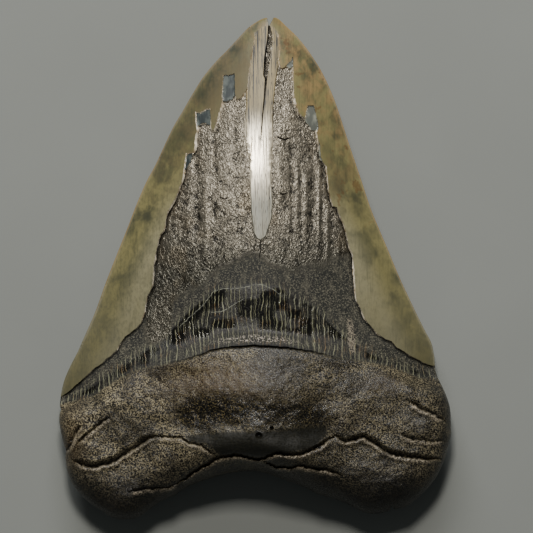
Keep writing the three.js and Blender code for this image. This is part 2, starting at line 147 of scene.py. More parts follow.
VEINS: tuple[Points, ...] = (
    ((-20.3, -15.9), (-18.5, -14.1), (-16, -11.8), (-13.6, -9.6), (-11.3, -6.4), (-8.6, -5.5),
     (-5, -5.5), (-2.3, -5.1), (-0.9, -4.6), (1.8, -4.4), (4, -5.3), (5.8, -6.4), (7.6, -7.8)),
    ((-12.2, -11.8), (-9, -11.8), (-6.8, -10.5), (-4.6, -9.1), (-2.9, -8.1)),
)
MINERAL: Points = (
    (24.8, -13.5), (26.1, -14.1), (26.9, -18.1), (26.7, -22.7), (25.6, -23), (24.8, -19.5),
)
PORED: Points = (
    (-18, -34), (-10, -32.6), (-4, -33.6), (3, -34.8), (10, -35.4), (17, -35), (20.5, -37),
    (21.5, -41), (18, -43.4), (12, -43.8), (6.5, -42.4), (2, -42.8), (-3, -43.2), (-9, -43.6),
    (-15, -44.2), (-20, -43.6), (-22.5, -40.5), (-20.5, -36),
)
NECK_SHEET: Points = (
    (-19, -45.2), (-15, -44.4), (-8, -43.7), (-3, -43.5), (2, -43.7), (9, -43), (19, -42.2),
    (19.4, -44.6), (17, -47.3), (13.4, -48.9), (9.4, -49.4), (4, -49.8), (0, -50.8),
    (-4, -50.2), (-9, -50.2), (-11, -49), (-13.5, -47.2), (-17.6, -46.6),
)
FRONT_PROFILE: Points = (
    (-70, 22), (-56, 24.5), (-48, 26.2), (-42, 26.5), (-34, 26), (-26, 24.3), (-22, 22.6),
    (-18, 21.1), (-10, 20.3), (0, 19.5), (15, 17), (30, 13.8), (45, 10), (57, 6.6), (64, 4.5),
    (70, 3.4),
)
BACK_PROFILE: Points = (
    (-70, 4), (-58, 2.4), (-48, 1.9), (-30, 1.6), (0, 1.2), (20, 0.8), (36, 0.6), (50, 0.7),
    (60, 1.2), (70, 2.2),
)
RIM_PROFILE: Points = (
    (-70, 9.4), (-45, 9.5), (-35, 9), (-20, 7.6), (0, 5.6), (35, 4), (60, 3.2), (70, 3),
)
BACK_ROOT_LINE: Points = (
    (-51, -36), (-40, -30.5), (-28, -25), (-14, -20), (-4, -17.5), (4, -17.5), (14, -20),
    (28, -24.5), (40, -29.5), (50, -33.5),
)
SPLIT_LEFT: Points = (
    (1.4, 34.3), (1.8, 41), (2.3, 45.9), (2.6, 50.9), (2.1, 51.8), (2.3, 55.1), (2.6, 58.3),
    (3.1, 61), (3.3, 63.2), (3.5, 65.4),
)
SPLIT_RIGHT: Points = (
    (1.7, 34.3), (2.2, 41), (2.7, 45.9), (3.3, 50.9), (3.9, 54.5), (4.4, 58.3), (4.8, 61),
    (4.6, 63.2), (3.9, 65.4),
)
LEFT_WALL: Points = (
    (-36, 0.2), (-21, 0.2), (-9, 0.22), (-2, 0.3), (5, 0.28), (12, 0.26), (18, 0.36), (24, 0.5),
    (31, 0.5), (38, 0.42), (48, 0.45), (62, 0.35),
)
RIGHT_WALL: Points = (
    (-27, 0.2), (-19, 0.22), (-9, 0.24), (0, 0.32), (8, 0.28), (15, 0.3), (20, 0.45), (28, 0.42),
    (36, 0.36), (44, 0.38), (60, 0.35),
)
FLUTES: tuple[tuple[float, float, float, float, float], ...] = (
    (-19.6, 1.5, 0.25, 4, 27), (-15.8, 1.1, 0.5, 8, 36), (-13.3, 0.75, -0.4, 1, 27),
    (-11, 0.7, 0.42, 12, 37), (-7.8, 1.2, -0.2, 16, 44), (-5.5, 0.9, 0.2, 28, 44),
    (-3.6, 0.9, -0.22, 20, 36), (6.8, 1.3, -0.3, 16, 38), (9.9, 0.5, 0.45, 8, 35),
    (11.2, 0.55, -0.35, 9, 31), (12.3, 0.4, 0.35, 8, 30), (13.5, 0.65, -0.4, 8, 26),
    (15.4, 0.85, 0.5, 4, 33), (16.95, 0.4, -0.4, 6, 28), (18.1, 0.5, 0.42, 4, 28),
    (19.4, 0.45, -0.4, -1, 17), (20.8, 0.6, 0.38, -3, 15), (22.6, 0.5, -0.25, -4, 9),
)
REST_SPOTS = ((-31, -51, 9, 3), (31, -51, 9, 3), (2.5, 36, 9, 1.2))


class CrackKind(Enum):
    """How a crack's two sides lie."""

    SLIT = "slit"
    FOLD = "fold"


@dataclass(frozen=True)
class Crack:
    """A crack as a line with the reach and depth of its groove, in millimetres.

    A slit is even on both sides. A fold slopes in gently from the crown's side and ends at a steep
    lower lip.
    """

    kind: CrackKind
    reach: float
    depth: float
    line: Points


CRACKS: tuple[Crack, ...] = (
    Crack(CrackKind.FOLD, 1.7, 1.5, (
        (-48.9, -51.6), (-46.4, -52.9), (-43.3, -53.5), (-39.2, -52.4), (-36, -50.9),
        (-33.8, -49.4), (-31.6, -47.8), (-28.9, -46.1), (-26.6, -45))),
    Crack(CrackKind.FOLD, 0.55, 0.8, (
        (-26.6, -45), (-24.4, -45.3), (-19.8, -45.4), (-18.1, -46.7), (-16.3, -47.1),
        (-14.4, -47.5), (-12.2, -49.2), (-10.2, -50.4))),
    Crack(CrackKind.FOLD, 1, 1.5, (
        (-20.8, -57.8), (-18.1, -56.2), (-16.3, -54.8), (-12.9, -52.9), (-10.5, -51.5),
        (-8.5, -50.7), (-5.5, -50.4), (-2.8, -50.7), (-0.7, -51.3), (2, -51.3), (4, -50.5),
        (6, -49.8), (10.7, -50.1), (14.1, -49.4), (17.5, -47.8), (19.5, -46.1),
        (21.5, -44.7))),
    Crack(CrackKind.FOLD, 0.8, 0.6, (
        (-33.8, -60), (-29.8, -59.4), (-25.7, -59.2), (-23, -58.8), (-20.8, -57.8))),
    Crack(CrackKind.FOLD, 0.9, 0.9, (
        (-51.1, -49.7), (-50, -48.1), (-48.9, -45.9), (-47.8, -43.8), (-46.5, -42.3))),
    Crack(CrackKind.FOLD, 0.7, 0.8, (
        (-47.8, -47.3), (-45.7, -45.4), (-44.1, -43.8), (-41.9, -42.3), (-39.2, -40.1))),
    Crack(CrackKind.FOLD, 1.4, 1.4, (
        (21.5, -44.7), (22.6, -45.7), (24.2, -46.7), (25.9, -46.5), (27.5, -45.6),
        (29.2, -45.5), (31.5, -46.7), (33.7, -48.5), (35.9, -49.7), (39.6, -50.7),
        (43.1, -51.1), (47.2, -51.3), (49.9, -51.3))),
    Crack(CrackKind.FOLD, 0.8, 1.1, (
        (2, -51.5), (5.6, -53.4), (9.1, -53.5), (12.4, -53.2), (15.8, -53.9), (19.1, -54.2),
        (23.2, -55.6))),
    Crack(CrackKind.FOLD, 1.2, 1, (
        (42, -35.9), (44, -37.7), (46.7, -38.6), (48.5, -39.7), (50.8, -41.2))),
    Crack(CrackKind.FOLD, 0.9, 0.5, (
        (39.1, -44.4), (41.8, -46), (45, -46.2), (47.7, -46.7), (50.8, -46.5))),
    Crack(CrackKind.SLIT, 0.12, 0.35, ((-0.7, 35.5), (-0.9, 33), (-1.2, 29.7))),
    Crack(CrackKind.SLIT, 0.14, 0.4, ((1.3, 7.3), (1.4, 5.2), (1.2, 2.7))),
    Crack(CrackKind.SLIT, 0.28, 0.6, ((5.9, 35.3), (7, 34.6), (8.1, 34.4), (9.2, 34.9))),
    Crack(CrackKind.SLIT, 0.22, 0.4, ((6.6, 20.2), (7.4, 19.6), (8.6, 20.1))),
    Crack(CrackKind.SLIT, 0.2, 0.4, ((-9.4, 19), (-8.2, 18.3), (-7.4, 18.9))),
)
FORAMINA = ((1, -44.8, 0.8), (4.5, -42.8, 0.5))
RIM_NOTCHES = ((51.2, -41.4, 1.1, 0.8), (-50.6, -49.2, 0.7, 0.9), (36.9, -65.2, 1.3, 0.45),
               (-52.4, -38.2, 0.4, 0.7))
SWELLS = (
    (1, -38.5, 17, 6.5, -0.5), (1, -31.5, 22, 3.5, 0.5), (-15, -46, 9, 3, 0.5),
    (15, -44, 8, 3.5, -0.7), (-28, -39, 9, 6, 0.6), (-40, -45, 5, 4, -0.5), (28, -38, 8, 6, 0.5),
    (43, -43, 5, 2.5, 0.5), (32, -54, 9, 4, 0.5), (-22, -51, 9, 4, 0.6), (-38, -58, 7, 5, -0.5),
    (40, -34, 6, 3, 0.4), (20, -34, 5, 8, -0.3),
)
CLOUDS = (
    (-13.8, 46, 3.4, 3.2, 1), (-10.2, 51, 3.6, 3, 1), (-20.6, 36, 3, 4, 0.8),
    (-25.6, 25, 2.8, 4.5, 0.9), (-27.6, 14.5, 2.6, 4, 0.6), (-33, 4, 3, 5, 0.2),
    (-5.4, 59.5, 3, 2.4, 0.9), (-0.5, 64.5, 2.5, 1.6, 0.6), (16, 54, 2, 3, 0.6),
    (11.5, 58, 2.4, 2, 0.7), (22, 36, 1.6, 2, 0.8), (22.6, 22.5, 2.4, 3, 0.7),
    (27.5, 17, 2.6, 5, 0.8), (37, -4, 2.6, 6, 0.5), (45, -17, 2.4, 4, 0.6),
    (-45, -20, 3, 4, 0.5),
)
STAINS = (
    (-9, -29, 13, 5, 1), (-50, -47, 4, 9, 0.7), (-41, -64, 7, 3, 0.7), (-6, -34, 20, 4, 0.4),
    (34, -31, 6, 3, 0.5), (46, -60, 4, 5, 0.3),
)
RUST = ((-21, 2, 4, 12, 1), (-3.5, 18, 3, 5, 1), (13.5, 29, 2, 5, 0.7))


def smoothstep(low: float, high: float, value: Array) -> Array:
    """Smooth step from 0 at low to 1 at high."""
    share = np.clip((value - low) / (high - low), 0, 1)
    return share * share * (3 - 2 * share)


def mix(a: Array | float, b: Array | float, share: Array | float) -> Array:
    """Blend from a to b by share."""
    return a + (b - a) * share


def bell(offset: Array, width: float) -> Array:
    """A bell curve of height 1."""
    return np.exp(-((offset / width) ** 2))


def smooth_line(points: Points, samples: int) -> Array:
    """Sample a Catmull-Rom curve through points.

    Args:
        points: The points that the curve passes through.
        samples: How many steps to take along it.

    Returns:
        The samples, one row each.
    """
    knots = np.asarray(points, float)
    last = len(knots) - 1
    place = np.linspace(0, last, samples + 1)
    at = np.minimum(place.astype(int), last - 1)
    t = (place - at)[:, None]
    p0, p1 = knots[np.maximum(at - 1, 0)], knots[at]
    p2, p3 = knots[at + 1], knots[np.minimum(at + 2, last)]
    v0, v1 = (p2 - p0) / 2, (p3 - p1) / 2
    cubic, square = 2 * p1 - 2 * p2 + v0 + v1, -3 * p1 + 3 * p2 - 2 * v0 - v1
    return cubic * t**3 + square * t**2 + v0 * t + p1


def resample(points: Array, step: float) -> Array:
    """Points along a line at an even step, keeping both ends.

    Args:
        points: The line's corners.
        step: The wanted distance between neighbours.

    Returns:
        The new points.
    """
    line = np.asarray(points, float)
    run = np.concatenate([[0], np.cumsum(np.hypot(*np.diff(line, axis=0).T))])
    stops = np.linspace(0, run[-1], max(2, int(round(run[-1] / step)) + 1))
    return np.column_stack([np.interp(stops, run, line[:, k]) for k in (0, 1)])


def line_sides(line: Array) -> Array:
    """Unit vectors square to a line, to its left, one for each of its points."""
    along = np.gradient(line, axis=0)
    length = np.maximum(np.hypot(along[:, 0], along[:, 1]), 1e-9)
    return np.column_stack([-along[:, 1], along[:, 0]]) / length[:, None]


def ragged(points: Points, seed: int, step: float = 0.45, amount: float = 0.07) -> Array:
    """A line with the small seeded irregularity of a broken edge.

    Args:
        points: The line's corners.
        seed: Seed of the irregularity.
        step: Distance between the new points.
        amount: How far a point may stray.

    Returns:
        The new line, with its two ends unmoved.
    """
    corners = np.asarray(points, float)
    pieces = [resample(corners[i:i + 2], step)[:-1] for i in range(len(corners) - 1)]
    line = np.vstack([*pieces, corners[-1:]])
    stray = np.random.default_rng(seed).uniform(-amount, amount, line.shape)
    stray[0] = stray[-1] = 0
    return line + stray


@dataclass
class Near:
    """How places lie beside a line.

    The gap is the distance to the line, along runs from 0 to 1 over its length, and side is
    positive to its left.
    """

    gap: Array
    along: Array
    side: Array


def nearest(places: Array, line: Array, reach: float = math.inf) -> Near:
    """Measure places against an open line.

    Args:
        places: Points, one row each.
        line: The line's corners.
        reach: Places further than this from the line's box are given this gap.

    Returns:
        The gap, the position along the line and the side of each place.
    """
    start, step = line[:-1], np.diff(line, axis=0)
    size = np.maximum((step**2).sum(1), 1e-12)
    run = np.concatenate([[0], np.cumsum(np.sqrt(size))])
    found = Near(np.full(len(places), float(reach)), np.zeros(len(places)), np.ones(len(places)))
    low, high = line.min(0) - reach, line.max(0) + reach
    close = np.flatnonzero(((places >= low) & (places <= high)).all(1))
    for part in np.array_split(close, len(close) // 4000 + 1):
        dx = places[part, None, 0] - start[None, :, 0]
        dy = places[part, None, 1] - start[None, :, 1]
        t = np.clip((dx * step[:, 0] + dy * step[:, 1]) / size, 0, 1)
        gap = (dx - t * step[:, 0]) ** 2 + (dy - t * step[:, 1]) ** 2
        row = np.arange(len(part))
        best = gap.argmin(1)
        found.gap[part] = np.sqrt(gap[row, best])
        share = run[best] + t[row, best] * (run[best + 1] - run[best])
        found.along[part] = share / run[-1]
        turn = step[best, 0] * dy[row, best] - step[best, 1] * dx[row, best]
        found.side[part] = np.where(turn < 0, -1, 1)
    return found


def inside(places: Array, polygon: Array) -> Array:
    """Which places lie inside a polygon.

    Args:
        places: Points, one row each.
        polygon: The polygon's corners, in either direction.

    Returns:
        True for each place inside.
    """
    found = np.zeros(len(places), bool)
    x, y = places.T
    ring = np.vstack([polygon, polygon[:1]])
    for (ax, ay), (bx, by) in zip(ring[:-1], ring[1:]):
        if ay == by:
            continue
        across = (y < ay) != (y < by)
        found ^= across & (x < (bx - ax) * (y - ay) / (by - ay) + ax)
    return found


def soft_area(places: Array, polygon: Points, edge: float) -> Array:
    """How far inside an area places lie.

    Args:
        places: Points, one row each.
        polygon: The area's corners.
        edge: Distance over which the area's border fades, to either side.

    Returns:
        0 outside, 1 inside, and between them at the border.
    """
    corners = np.asarray(polygon, float)
    gap = nearest(places, np.vstack([corners, corners[:1]]), 2 * edge).gap
    return smoothstep(-edge, edge, np.where(inside(places, corners), gap, -gap))


def lattice_noise(x: Array, y: Array, size: tuple[float, float], seed: int) -> Array:
    """Smooth seeded noise over the plane.

    Args:
        x: First coordinates.
        y: Second coordinates.
        size: Size of a lump along each coordinate.
        seed: Seed of the pattern.

    Returns:
        Values from -1 to 1.
    """
    table = np.random.default_rng(seed).uniform(-1, 1, (128, 128))
    u, v = x / size[0] + 512, y / size[1] + 512
    i, j = np.floor(u).astype(int), np.floor(v).astype(int)
    s, t = smoothstep(0, 1, u - i), smoothstep(0, 1, v - j)
    i, j, i1, j1 = i % 128, j % 128, (i + 1) % 128, (j + 1) % 128
    low = mix(table[i, j], table[i1, j], s)
    high = mix(table[i, j1], table[i1, j1], s)
    return mix(low, high, t)


class Zone(Enum):
    """What a face of the tooth shows. The value is its material slot."""

    OUTER_ENAMEL = 0
    BROKEN_EDGE = 1
    INNER_ENAMEL = 2
    BONE = 3
    MINERAL = 4


@dataclass
class ToothForm:
    """The smooth form of the whole tooth, before anything is lost from it, in millimetres."""

    root_rounding: float = 8.5
    lobe_height: float = 17.5
    protuberance_x: float = 2.0
    protuberance_spread: float = 22.0
    upper: Array = field(init=False)
    lower: Array = field(init=False)
    rim: Array = field(init=False)

    def __post_init__(self) -> None:
        """Make the sampled lines that the other methods read."""
        self.upper = smooth_line(UPPER_OUTLINE, 480)
        self.lower = smooth_line(LOWER_OUTLINE, 320)
        self.root_line = np.asarray(ROOT_LINE, float)
        tip = int(self.upper[:, 1].argmax())
        self.left_edge = self.upper[:tip + 1]
        self.right_edge = self.upper[tip:][::-1]
        self.front_profile = smooth_line(FRONT_PROFILE, 160)
        self.back_profile = smooth_line(BACK_PROFILE, 100)
        self.rim_profile = smooth_line(RIM_PROFILE, 80)
        loop = np.vstack([self.upper, self.lower[1:-1][::-1]])
        self.smooth_rim = np.vstack([loop, loop[:1]])
        keep = (loop[:, 1] < 60) | (loop[:, 0] < TIP_NOTCH[0][0]) | (loop[:, 0] > TIP_NOTCH[-1][0])
        before = (loop[:, 0] < TIP_NOTCH[0][0]) | (loop[:, 1] < 60)
        first = int(np.argmin(before)) if not before.all() else 0
        notched = np.vstack([loop[:first][keep[:first]], TIP_NOTCH, loop[first:][keep[first:]]])
        closed = resample(np.vstack([notched, notched[:1]]), 0.45)
        for x, y, depth, width in RIM_NOTCHES:
            pull = depth * bell(np.hypot(closed[:, 0] - x, closed[:, 1] - y), width)
            closed = closed - line_sides(closed) * pull[:, None]
        self.rim = closed[:-1]

    def crown_share(self, x: Array, y: Array, sharpness: float) -> Array:
        """Share of the crown's thickness, 0 on a cutting edge and 1 in the middle.

        Args:
            x: Where, across the tooth.
            y: Where, from the root to the tip.
            sharpness: Power that makes the edge sharper.

        Returns:
            The share at each place.
        """
        left = np.interp(y, self.left_edge[:, 1], self.left_edge[:, 0])
        right = np.interp(y, self.right_edge[:, 1], self.right_edge[:, 0])
        across = (x - (left + right) / 2) / np.maximum((right - left) / 2, 0.05)
        return np.maximum(0, 1 - across**2) ** sharpness

    def root_share(self, x: Array, y: Array) -> Array:
        """Share of the root's thickness, rounded off towards the outline."""
        gap = nearest(np.column_stack([x, y]), self.smooth_rim).gap
        inward = np.minimum(gap / self.root_rounding, 1)
        return np.sqrt(np.maximum(0, 1 - (1 - inward) ** 2))

    def above_root(self, x: Array, y: Array) -> Array:
        """Height of a place above the line where the crown meets the root."""
        return y - np.interp(x, self.root_line[:, 0], self.root_line[:, 1])

    def rim_height(self, y: Array) -> Array:
        """Height of the outline above the table."""
        return np.interp(y, *self.rim_profile.T)

    def front(self, x: Array, y: Array) -> Array:
        """Height of the smooth upper surface.

        Args:
            x: Where, across the tooth.
            y: Where, from the root to the tip.

        Returns:
            Heights above the table.
        """
        rim = self.rim_height(y)
        middle = np.interp(y, *self.front_profile.T)
        crown = rim + (middle - rim) * self.crown_share(x, y, 1.2)
        swell = bell(x - self.protuberance_x, self.protuberance_spread)
        top = mix(self.lobe_height, middle, swell)
        root = rim + (top - rim) * self.root_share(x, y)
        return mix(crown, root, smoothstep(-1.5, 5, -self.above_root(x, y)))

    def back(self, x: Array, y: Array) -> Array:
        """Height of the smooth underside.

        Args:
            x: Where, across the tooth.
            y: Where, from the root to the tip.

        Returns:
            Heights above the table.
        """
        rim = self.rim_height(y)
        weight = smoothstep(-1.5, 5, -self.above_root(x, y))
        share = mix(self.crown_share(x, y, 0.6), self.root_share(x, y), weight)
        floor = np.interp(y, *self.back_profile.T)
        for spot_x, spot_y, spread, dip in REST_SPOTS:
            floor = floor - dip * bell(np.hypot(x - spot_x, y - spot_y), spread)
        return rim - (rim - floor) * share


class Triangulation:
    """Triangles over an outline that follow every line given to them."""

    def __init__(self, outline: Array) -> None:
        """Start with the closed outline, whose last point isn't repeated.

        Args:
            outline: The outline's points, in order.
        """
        self.outline = outline
        self.places: list[Array] = [outline]
        count = len(outline)
        self.edges: list[tuple[int, int]] = [(i, (i + 1) % count) for i in range(count)]
        self.count = count

    def add_line(self, line: Array) -> None:
        """Add a line that triangles may not cross, leaving out what lies beyond the outline.

        Args:
            line: The line's points.
        """
        within = inside(line, self.outline)
        start = self.count
        self.places.append(line)
        self.count += len(line)
        for i in range(len(line) - 1):
            if within[i] or within[i + 1]:
                self.edges.append((start + i, start + i + 1))

    def fill(self, spacing: float, seed: int, area: Array) -> None:
        """Scatter points over an area, clear of every line and point there is.

        Args:
            spacing: Distance between neighbours.
            seed: Seed of their unevenness.
            area: The area's corners.
        """
        fixed = np.vstack(self.places)
        tree = kdtree.KDTree(len(fixed))
        for i, (x, y) in enumerate(fixed):
            tree.insert((x, y, 0), i)
        tree.balance()
        low, high = area.min(0), area.max(0)
        rows = np.arange(low[1], high[1], spacing * 0.866)
        columns = np.arange(low[0], high[0], spacing)
        x, y = np.meshgrid(columns, rows)
        x = x + (np.arange(len(rows)) % 2)[:, None] * spacing / 2
        grid = np.column_stack([x.ravel(), y.ravel()])
        grid += np.random.default_rng(seed).uniform(-0.18, 0.18, grid.shape) * spacing
        grid = grid[inside(grid, self.outline) & inside(grid, area)]
        clear = [tree.find((px, py, 0))[2] > 0.45 * spacing for px, py in grid]
        self.places.append(grid[np.array(clear)])
        self.count += int(np.sum(clear))

    def build(self) -> tuple[Array, Array]:
        """Triangulate.

        Returns:
            The points, and the triangles that lie inside the outline, facing up.
        """
        points = [Vector(p) for p in np.vstack(self.places)]
        verts, _, faces, *_ = delaunay_2d_cdt(points, self.edges, [], 0, 1e-4, False)
        places = np.array([(v.x, v.y) for v in verts])
        triangles = np.array(faces)
        corner = places[triangles]
        triangles = triangles[inside(corner.mean(1), self.outline)]
        a, b, c = (places[triangles[:, k]] for k in range(3))
        area = (b - a)[:, 0] * (c - a)[:, 1] - (b - a)[:, 1] * (c - a)[:, 0]
        triangles[area < 0] = triangles[area < 0][:, ::-1]
        used, inverse = np.unique(triangles, return_inverse=True)
        return places[used], inverse.reshape(triangles.shape)


def border_loop(triangles: Array) -> Array:
    """The vertices around a sheet of triangles, in order.

    Args:
        triangles: The sheet's triangles, as rows of vertex numbers.

    Returns:
        The border's vertex numbers.
    """
    sides = np.vstack([triangles[:, [0, 1]], triangles[:, [1, 2]], triangles[:, [2, 0]]])
    pairs = {(int(a), int(b)) for a, b in sides}
    follow = {a: b for a, b in pairs if (b, a) not in pairs}
    loop = [next(iter(sorted(follow)))]
    while len(loop) <= len(follow):
        step = follow[loop[-1]]
        if step == loop[0]:
            break
        loop.append(step)
    return np.array(loop)


@dataclass
class Losses:
    """What the tooth has lost from its front, as depths and as zones, in millimetres."""

    form: ToothForm
    outer: float = 0.85
    inner: float = 0.4
    bourlette: float = 0.6
    tongue_wall: float = 0.24
    crevice: float = 0.38
    layer_edge: float = 0.22
    fold_lip: float = 0.3
    vein_half: float = 0.1

    def __post_init__(self) -> None:
        """Make the broken lines and the fields between them."""
        self.left = ragged(LEFT_BREAK, 11)
        self.right = ragged(RIGHT_BREAK, 12)
        self.tongue = ragged(TONGUE, 13, amount=0.05)
        self.upper_layer = ragged(UPPER_LAYER, 14)
        self.root = ragged(ROOT_LINE, 15, step=0.6, amount=0.12)
        self.field = np.vstack([self.left, self.root, self.right, self.tongue])
        self.tongue_field = np.vstack([self.upper_layer, self.tongue])
        self.cracks = [(c, ragged(c.line, 20 + i, step=0.5, amount=min(0.25, c.reach * 0.4)))
                       for i, c in enumerate(CRACKS)]
        self.veins = [ragged(line, 50 + i, step=0.5, amount=0.12) for i, line in enumerate(VEINS)]
        rows = np.linspace(34.3, 65.4, 60)
        self.split_deep = np.column_stack([mix(*self.split_sides(rows), 0.2), rows])

    @staticmethod
    def split_sides(y: Array) -> tuple[Array, Array]:
        """Left and right border of the split in the tip."""
        left, right = (np.array(side) for side in (SPLIT_LEFT, SPLIT_RIGHT))
        return np.interp(y, left[:, 1], left[:, 0]), np.interp(y, right[:, 1], right[:, 0])

    def above_root(self, x: Array, y: Array) -> Array:
        """Height of a place above the broken line at the root."""
        return y - np.interp(x, self.root[:, 0], self.root[:, 1])

    def wall_width(self, places: Array) -> tuple[Array, Array]:
        """Distance to the nearer enamel break and the width of the break's slope there.

        Args:
            places: Points, one row each.

        Returns:
            The distance and the width at each place.
        """
        left = nearest(places, self.left).gap
        right = nearest(places, self.right).gap
        width = np.where(left < right, self.wall_at(places, LEFT_WALL),
                         self.wall_at(places, RIGHT_WALL))
        return np.minimum(left, right), width

    @staticmethod
    def wall_at(places: Array, widths: Points) -> Array:
        """Width of a break's slope, uneven along the break."""
        x, y = places.T
        uneven = 1 + 0.55 * lattice_noise(x, y, (2.2, 2.2), 78)
        return np.interp(y, *np.array(widths).T) * uneven

    def in_window(self, places: Array) -> Array:
        """Which places show the smooth layer under the outer enamel."""
        return np.any([inside(places, np.array(w)) for w in WINDOWS], axis=0)

    @staticmethod
    def window_tops(places: Array) -> Array:
        """How close places are to the upper end of a window.

        Args:
            places: Points, one row each.

        Returns:
            1 at an upper end, 0 away from it.
        """
        x, y = places.T
        found = np.zeros(len(places))
        for window in WINDOWS:
            left, right = (side([px for px, _ in window]) for side in (min, max))
            top = max(py for _, py in window)
            within = smoothstep(left - 0.6, left + 0.5, x) * smoothstep(right + 0.6, right - 0.5, x)
            found = np.maximum(found, within * bell(y - top, 0.9))
        return found

    @staticmethod
    def flutes(x: Array, y: Array) -> Array:
        """Depth of the upright flutes of the dentine, negative on the ridges between them.

        Args:
            x: Where, across the tooth.
            y: Where, from the root to the tip.

        Returns:
            The depth at each place.
        """
        depth = np.zeros(len(x))
        for number, (flute_x, width, extra, low, high) in enumerate(FLUTES):
            sway = 0.35 * lattice_noise(x * 0 + number * 7, y, (5, 11), 71)
            fade = smoothstep(low - 2, low + 3, y) * smoothstep(high + 2, high - 4, y)
            uneven = 0.85 + 0.5 * lattice_noise(x, y, (6, 4), 72)
            depth += extra * fade * uneven * bell(x - flute_x - sway, width)
        return depth

    def field_depth(self, x: Array, y: Array) -> Array:
        """Depth of the bare field away from its borders.

        Args:
            x: Where, across the tooth.
            y: Where, from the root to the tip.

        Returns:
            The depth at each place.
        """
        above = self.above_root(x, y)
        depth = mix(self.bourlette, self.outer, smoothstep(14, 22, above))
        depth = depth + 0.72 * self.flutes(x, y) * self.rough_share(x, y)
        streak = 0.05 * lattice_noise(x, y, (1.5, 9), 73)
        wave = 0.16 * lattice_noise(x, y, (3.2, 4.2), 74)
        return depth + (streak + wave + 0.09 * self.crumple(x, y)) * self.rough_share(x, y)

    def crumple(self, x: Array, y: Array) -> Array:
        """The flaky crumpled pattern of the dentine, from -1 on its peaks to 1 in its hollows."""
        large = lattice_noise(x + 0.4 * y, y, (1.2, 1.6), 75)
        small = lattice_noise(x - 0.3 * y, y, (0.75, 0.95), 76)
        return 0.6 * large + 0.4 * small

    def rough_share(self, x: Array, y: Array) -> Array:
        """How rough the bare field is, from 0 in its smooth lower part to 1."""
        return smoothstep(0.8, -3, np.interp(x, *np.array(SMOOTH_TOP).T) - y)

    def split_depth(self, x: Array, y: Array) -> Array:
        """Depth of the split that opens the tip.

        Args:
            x: Where, across the tooth.
            y: Where, from the root to the tip.

        Returns:
            The depth at each place.
        """
        left, right = self.split_sides(y)
        across = (x - left) / np.maximum(right - left, 0.02)
        steep = np.where(across < 0.2, across / 0.2, (1 - across) / 0.8)
        deep = mix(0.4, 0.85, smoothstep(40, 54, y))
        rough = 1 + 0.25 * lattice_noise(x, y, (0.5, 1.1), 77)
        return np.where((y > 34.3) & (y < 65.4), np.maximum(steep, 0) * deep * rough, 0)

    def split_shade(self, x: Array, y: Array) -> Array:
        """Shade in the split, darkest along its steep left side.

        Args:
            x: Where, across the tooth.
            y: Where, from the root to the tip.

        Returns:
            The share of shade at each place.
        """
        left, right = self.split_sides(y)
        across = (x - left) / np.maximum(right - left, 0.02)
        shade = mix(0.95, 0.05, smoothstep(0.2, 0.45, across))
        return mix(0.9, shade, smoothstep(50, 54, y)) * (self.split_depth(x, y) > 0.04)

    def crack_depth(self, places: Array) -> Array:
        """Depth of all cracks, less the raised lower lips of the folds.

        Args:
            places: Points, one row each.

        Returns:
            The depth at each place.
        """
        depth = np.zeros(len(places))
        for crack, line in self.cracks:
            near = nearest(places, line, 4)
            reach = crack.reach * self.taper(near.along)
            if crack.kind is CrackKind.SLIT:
                depth += crack.depth * np.clip(1 - near.gap / reach, 0, 1)
                continue
            upper = np.clip(1 - near.gap / reach, 0, 1) ** 1.3
            lower = np.clip(1 - near.gap / self.fold_lip, 0, 1)
            ends = np.clip(np.minimum(near.along, 1 - near.along) / 0.1, 0, 1)
            groove = crack.depth * np.where(near.side > 0, upper, lower) * mix(0.4, 1, ends)
            lip = 0.3 * crack.depth * bell(near.gap - 0.75, 0.55) * (near.side < 0)
            depth += groove - lip * ends
        return depth

    def depth(self, x: Array, y: Array) -> Array:
        """How far the surface lies below the smooth form.

        Args:
            x: Where, across the tooth.
            y: Where, from the root to the tip.

        Returns:
            The depth at each place.
        """
        places = np.column_stack([x, y])
        above = self.above_root(x, y)
        in_field = inside(places, self.field)
        in_tongue = inside(places, self.tongue_field)
        to_break, wall = self.wall_width(places)
        to_tongue = nearest(places, self.tongue).gap
        full = self.field_depth(x, y)
        full = full + 0.35 * bell(to_break - wall - 0.25, 0.3) * smoothstep(46, 22, y)
        full = np.where(self.in_window(places), self.inner + 0.05, full)
        field_depth = np.minimum(full, self.outer * 1.15 * to_break / wall)
        field_depth = mix(self.inner, field_depth, np.clip(to_tongue / self.tongue_wall, 0, 1))
        centre = bell(x - 0.5, 19)
        rise = mix(np.clip(above / 0.5, 0, 1), smoothstep(0.5, 3.2, above), centre)
        field_depth = mix(-0.25 * centre, field_depth, rise)
        to_rim = nearest(places, self.form.smooth_rim).gap
        field_depth = field_depth * smoothstep(0, 1.2, to_rim)
        to_layer = nearest(places, self.upper_layer, 3).gap
        shell = self.inner * (1 - smoothstep(59, 65, y))
        tongue_depth = shell * np.clip(to_layer / self.layer_edge, 0, 1)
        tongue_depth = tongue_depth - 0.3 * bell(y - 31.5, 8)
        depth = np.where(in_field, field_depth, np.where(in_tongue, tongue_depth, 0))
        depth = depth + self.split_depth(x, y)
        groove = np.clip(1 - np.abs(above) / self.crevice, 0, 1)
        depth = depth + groove * mix(0.3, 0.95, centre) * smoothstep(0, 1.5, to_rim)
        depth = depth + self.crack_depth(places) * smoothstep(0, 1, to_rim)
        for fx, fy, radius in FORAMINA:
            depth = depth + 1.6 * np.clip(1.3 - np.hypot(x - fx, y - fy) / radius, 0, 1)
        return depth

    @staticmethod
    def taper(along: Array) -> Array:
        """Width of a crack along its length, thin at both ends."""
        ends = np.minimum(along, 1 - along)
        return 0.25 + 0.75 * np.clip(ends / 0.12, 0, 1)

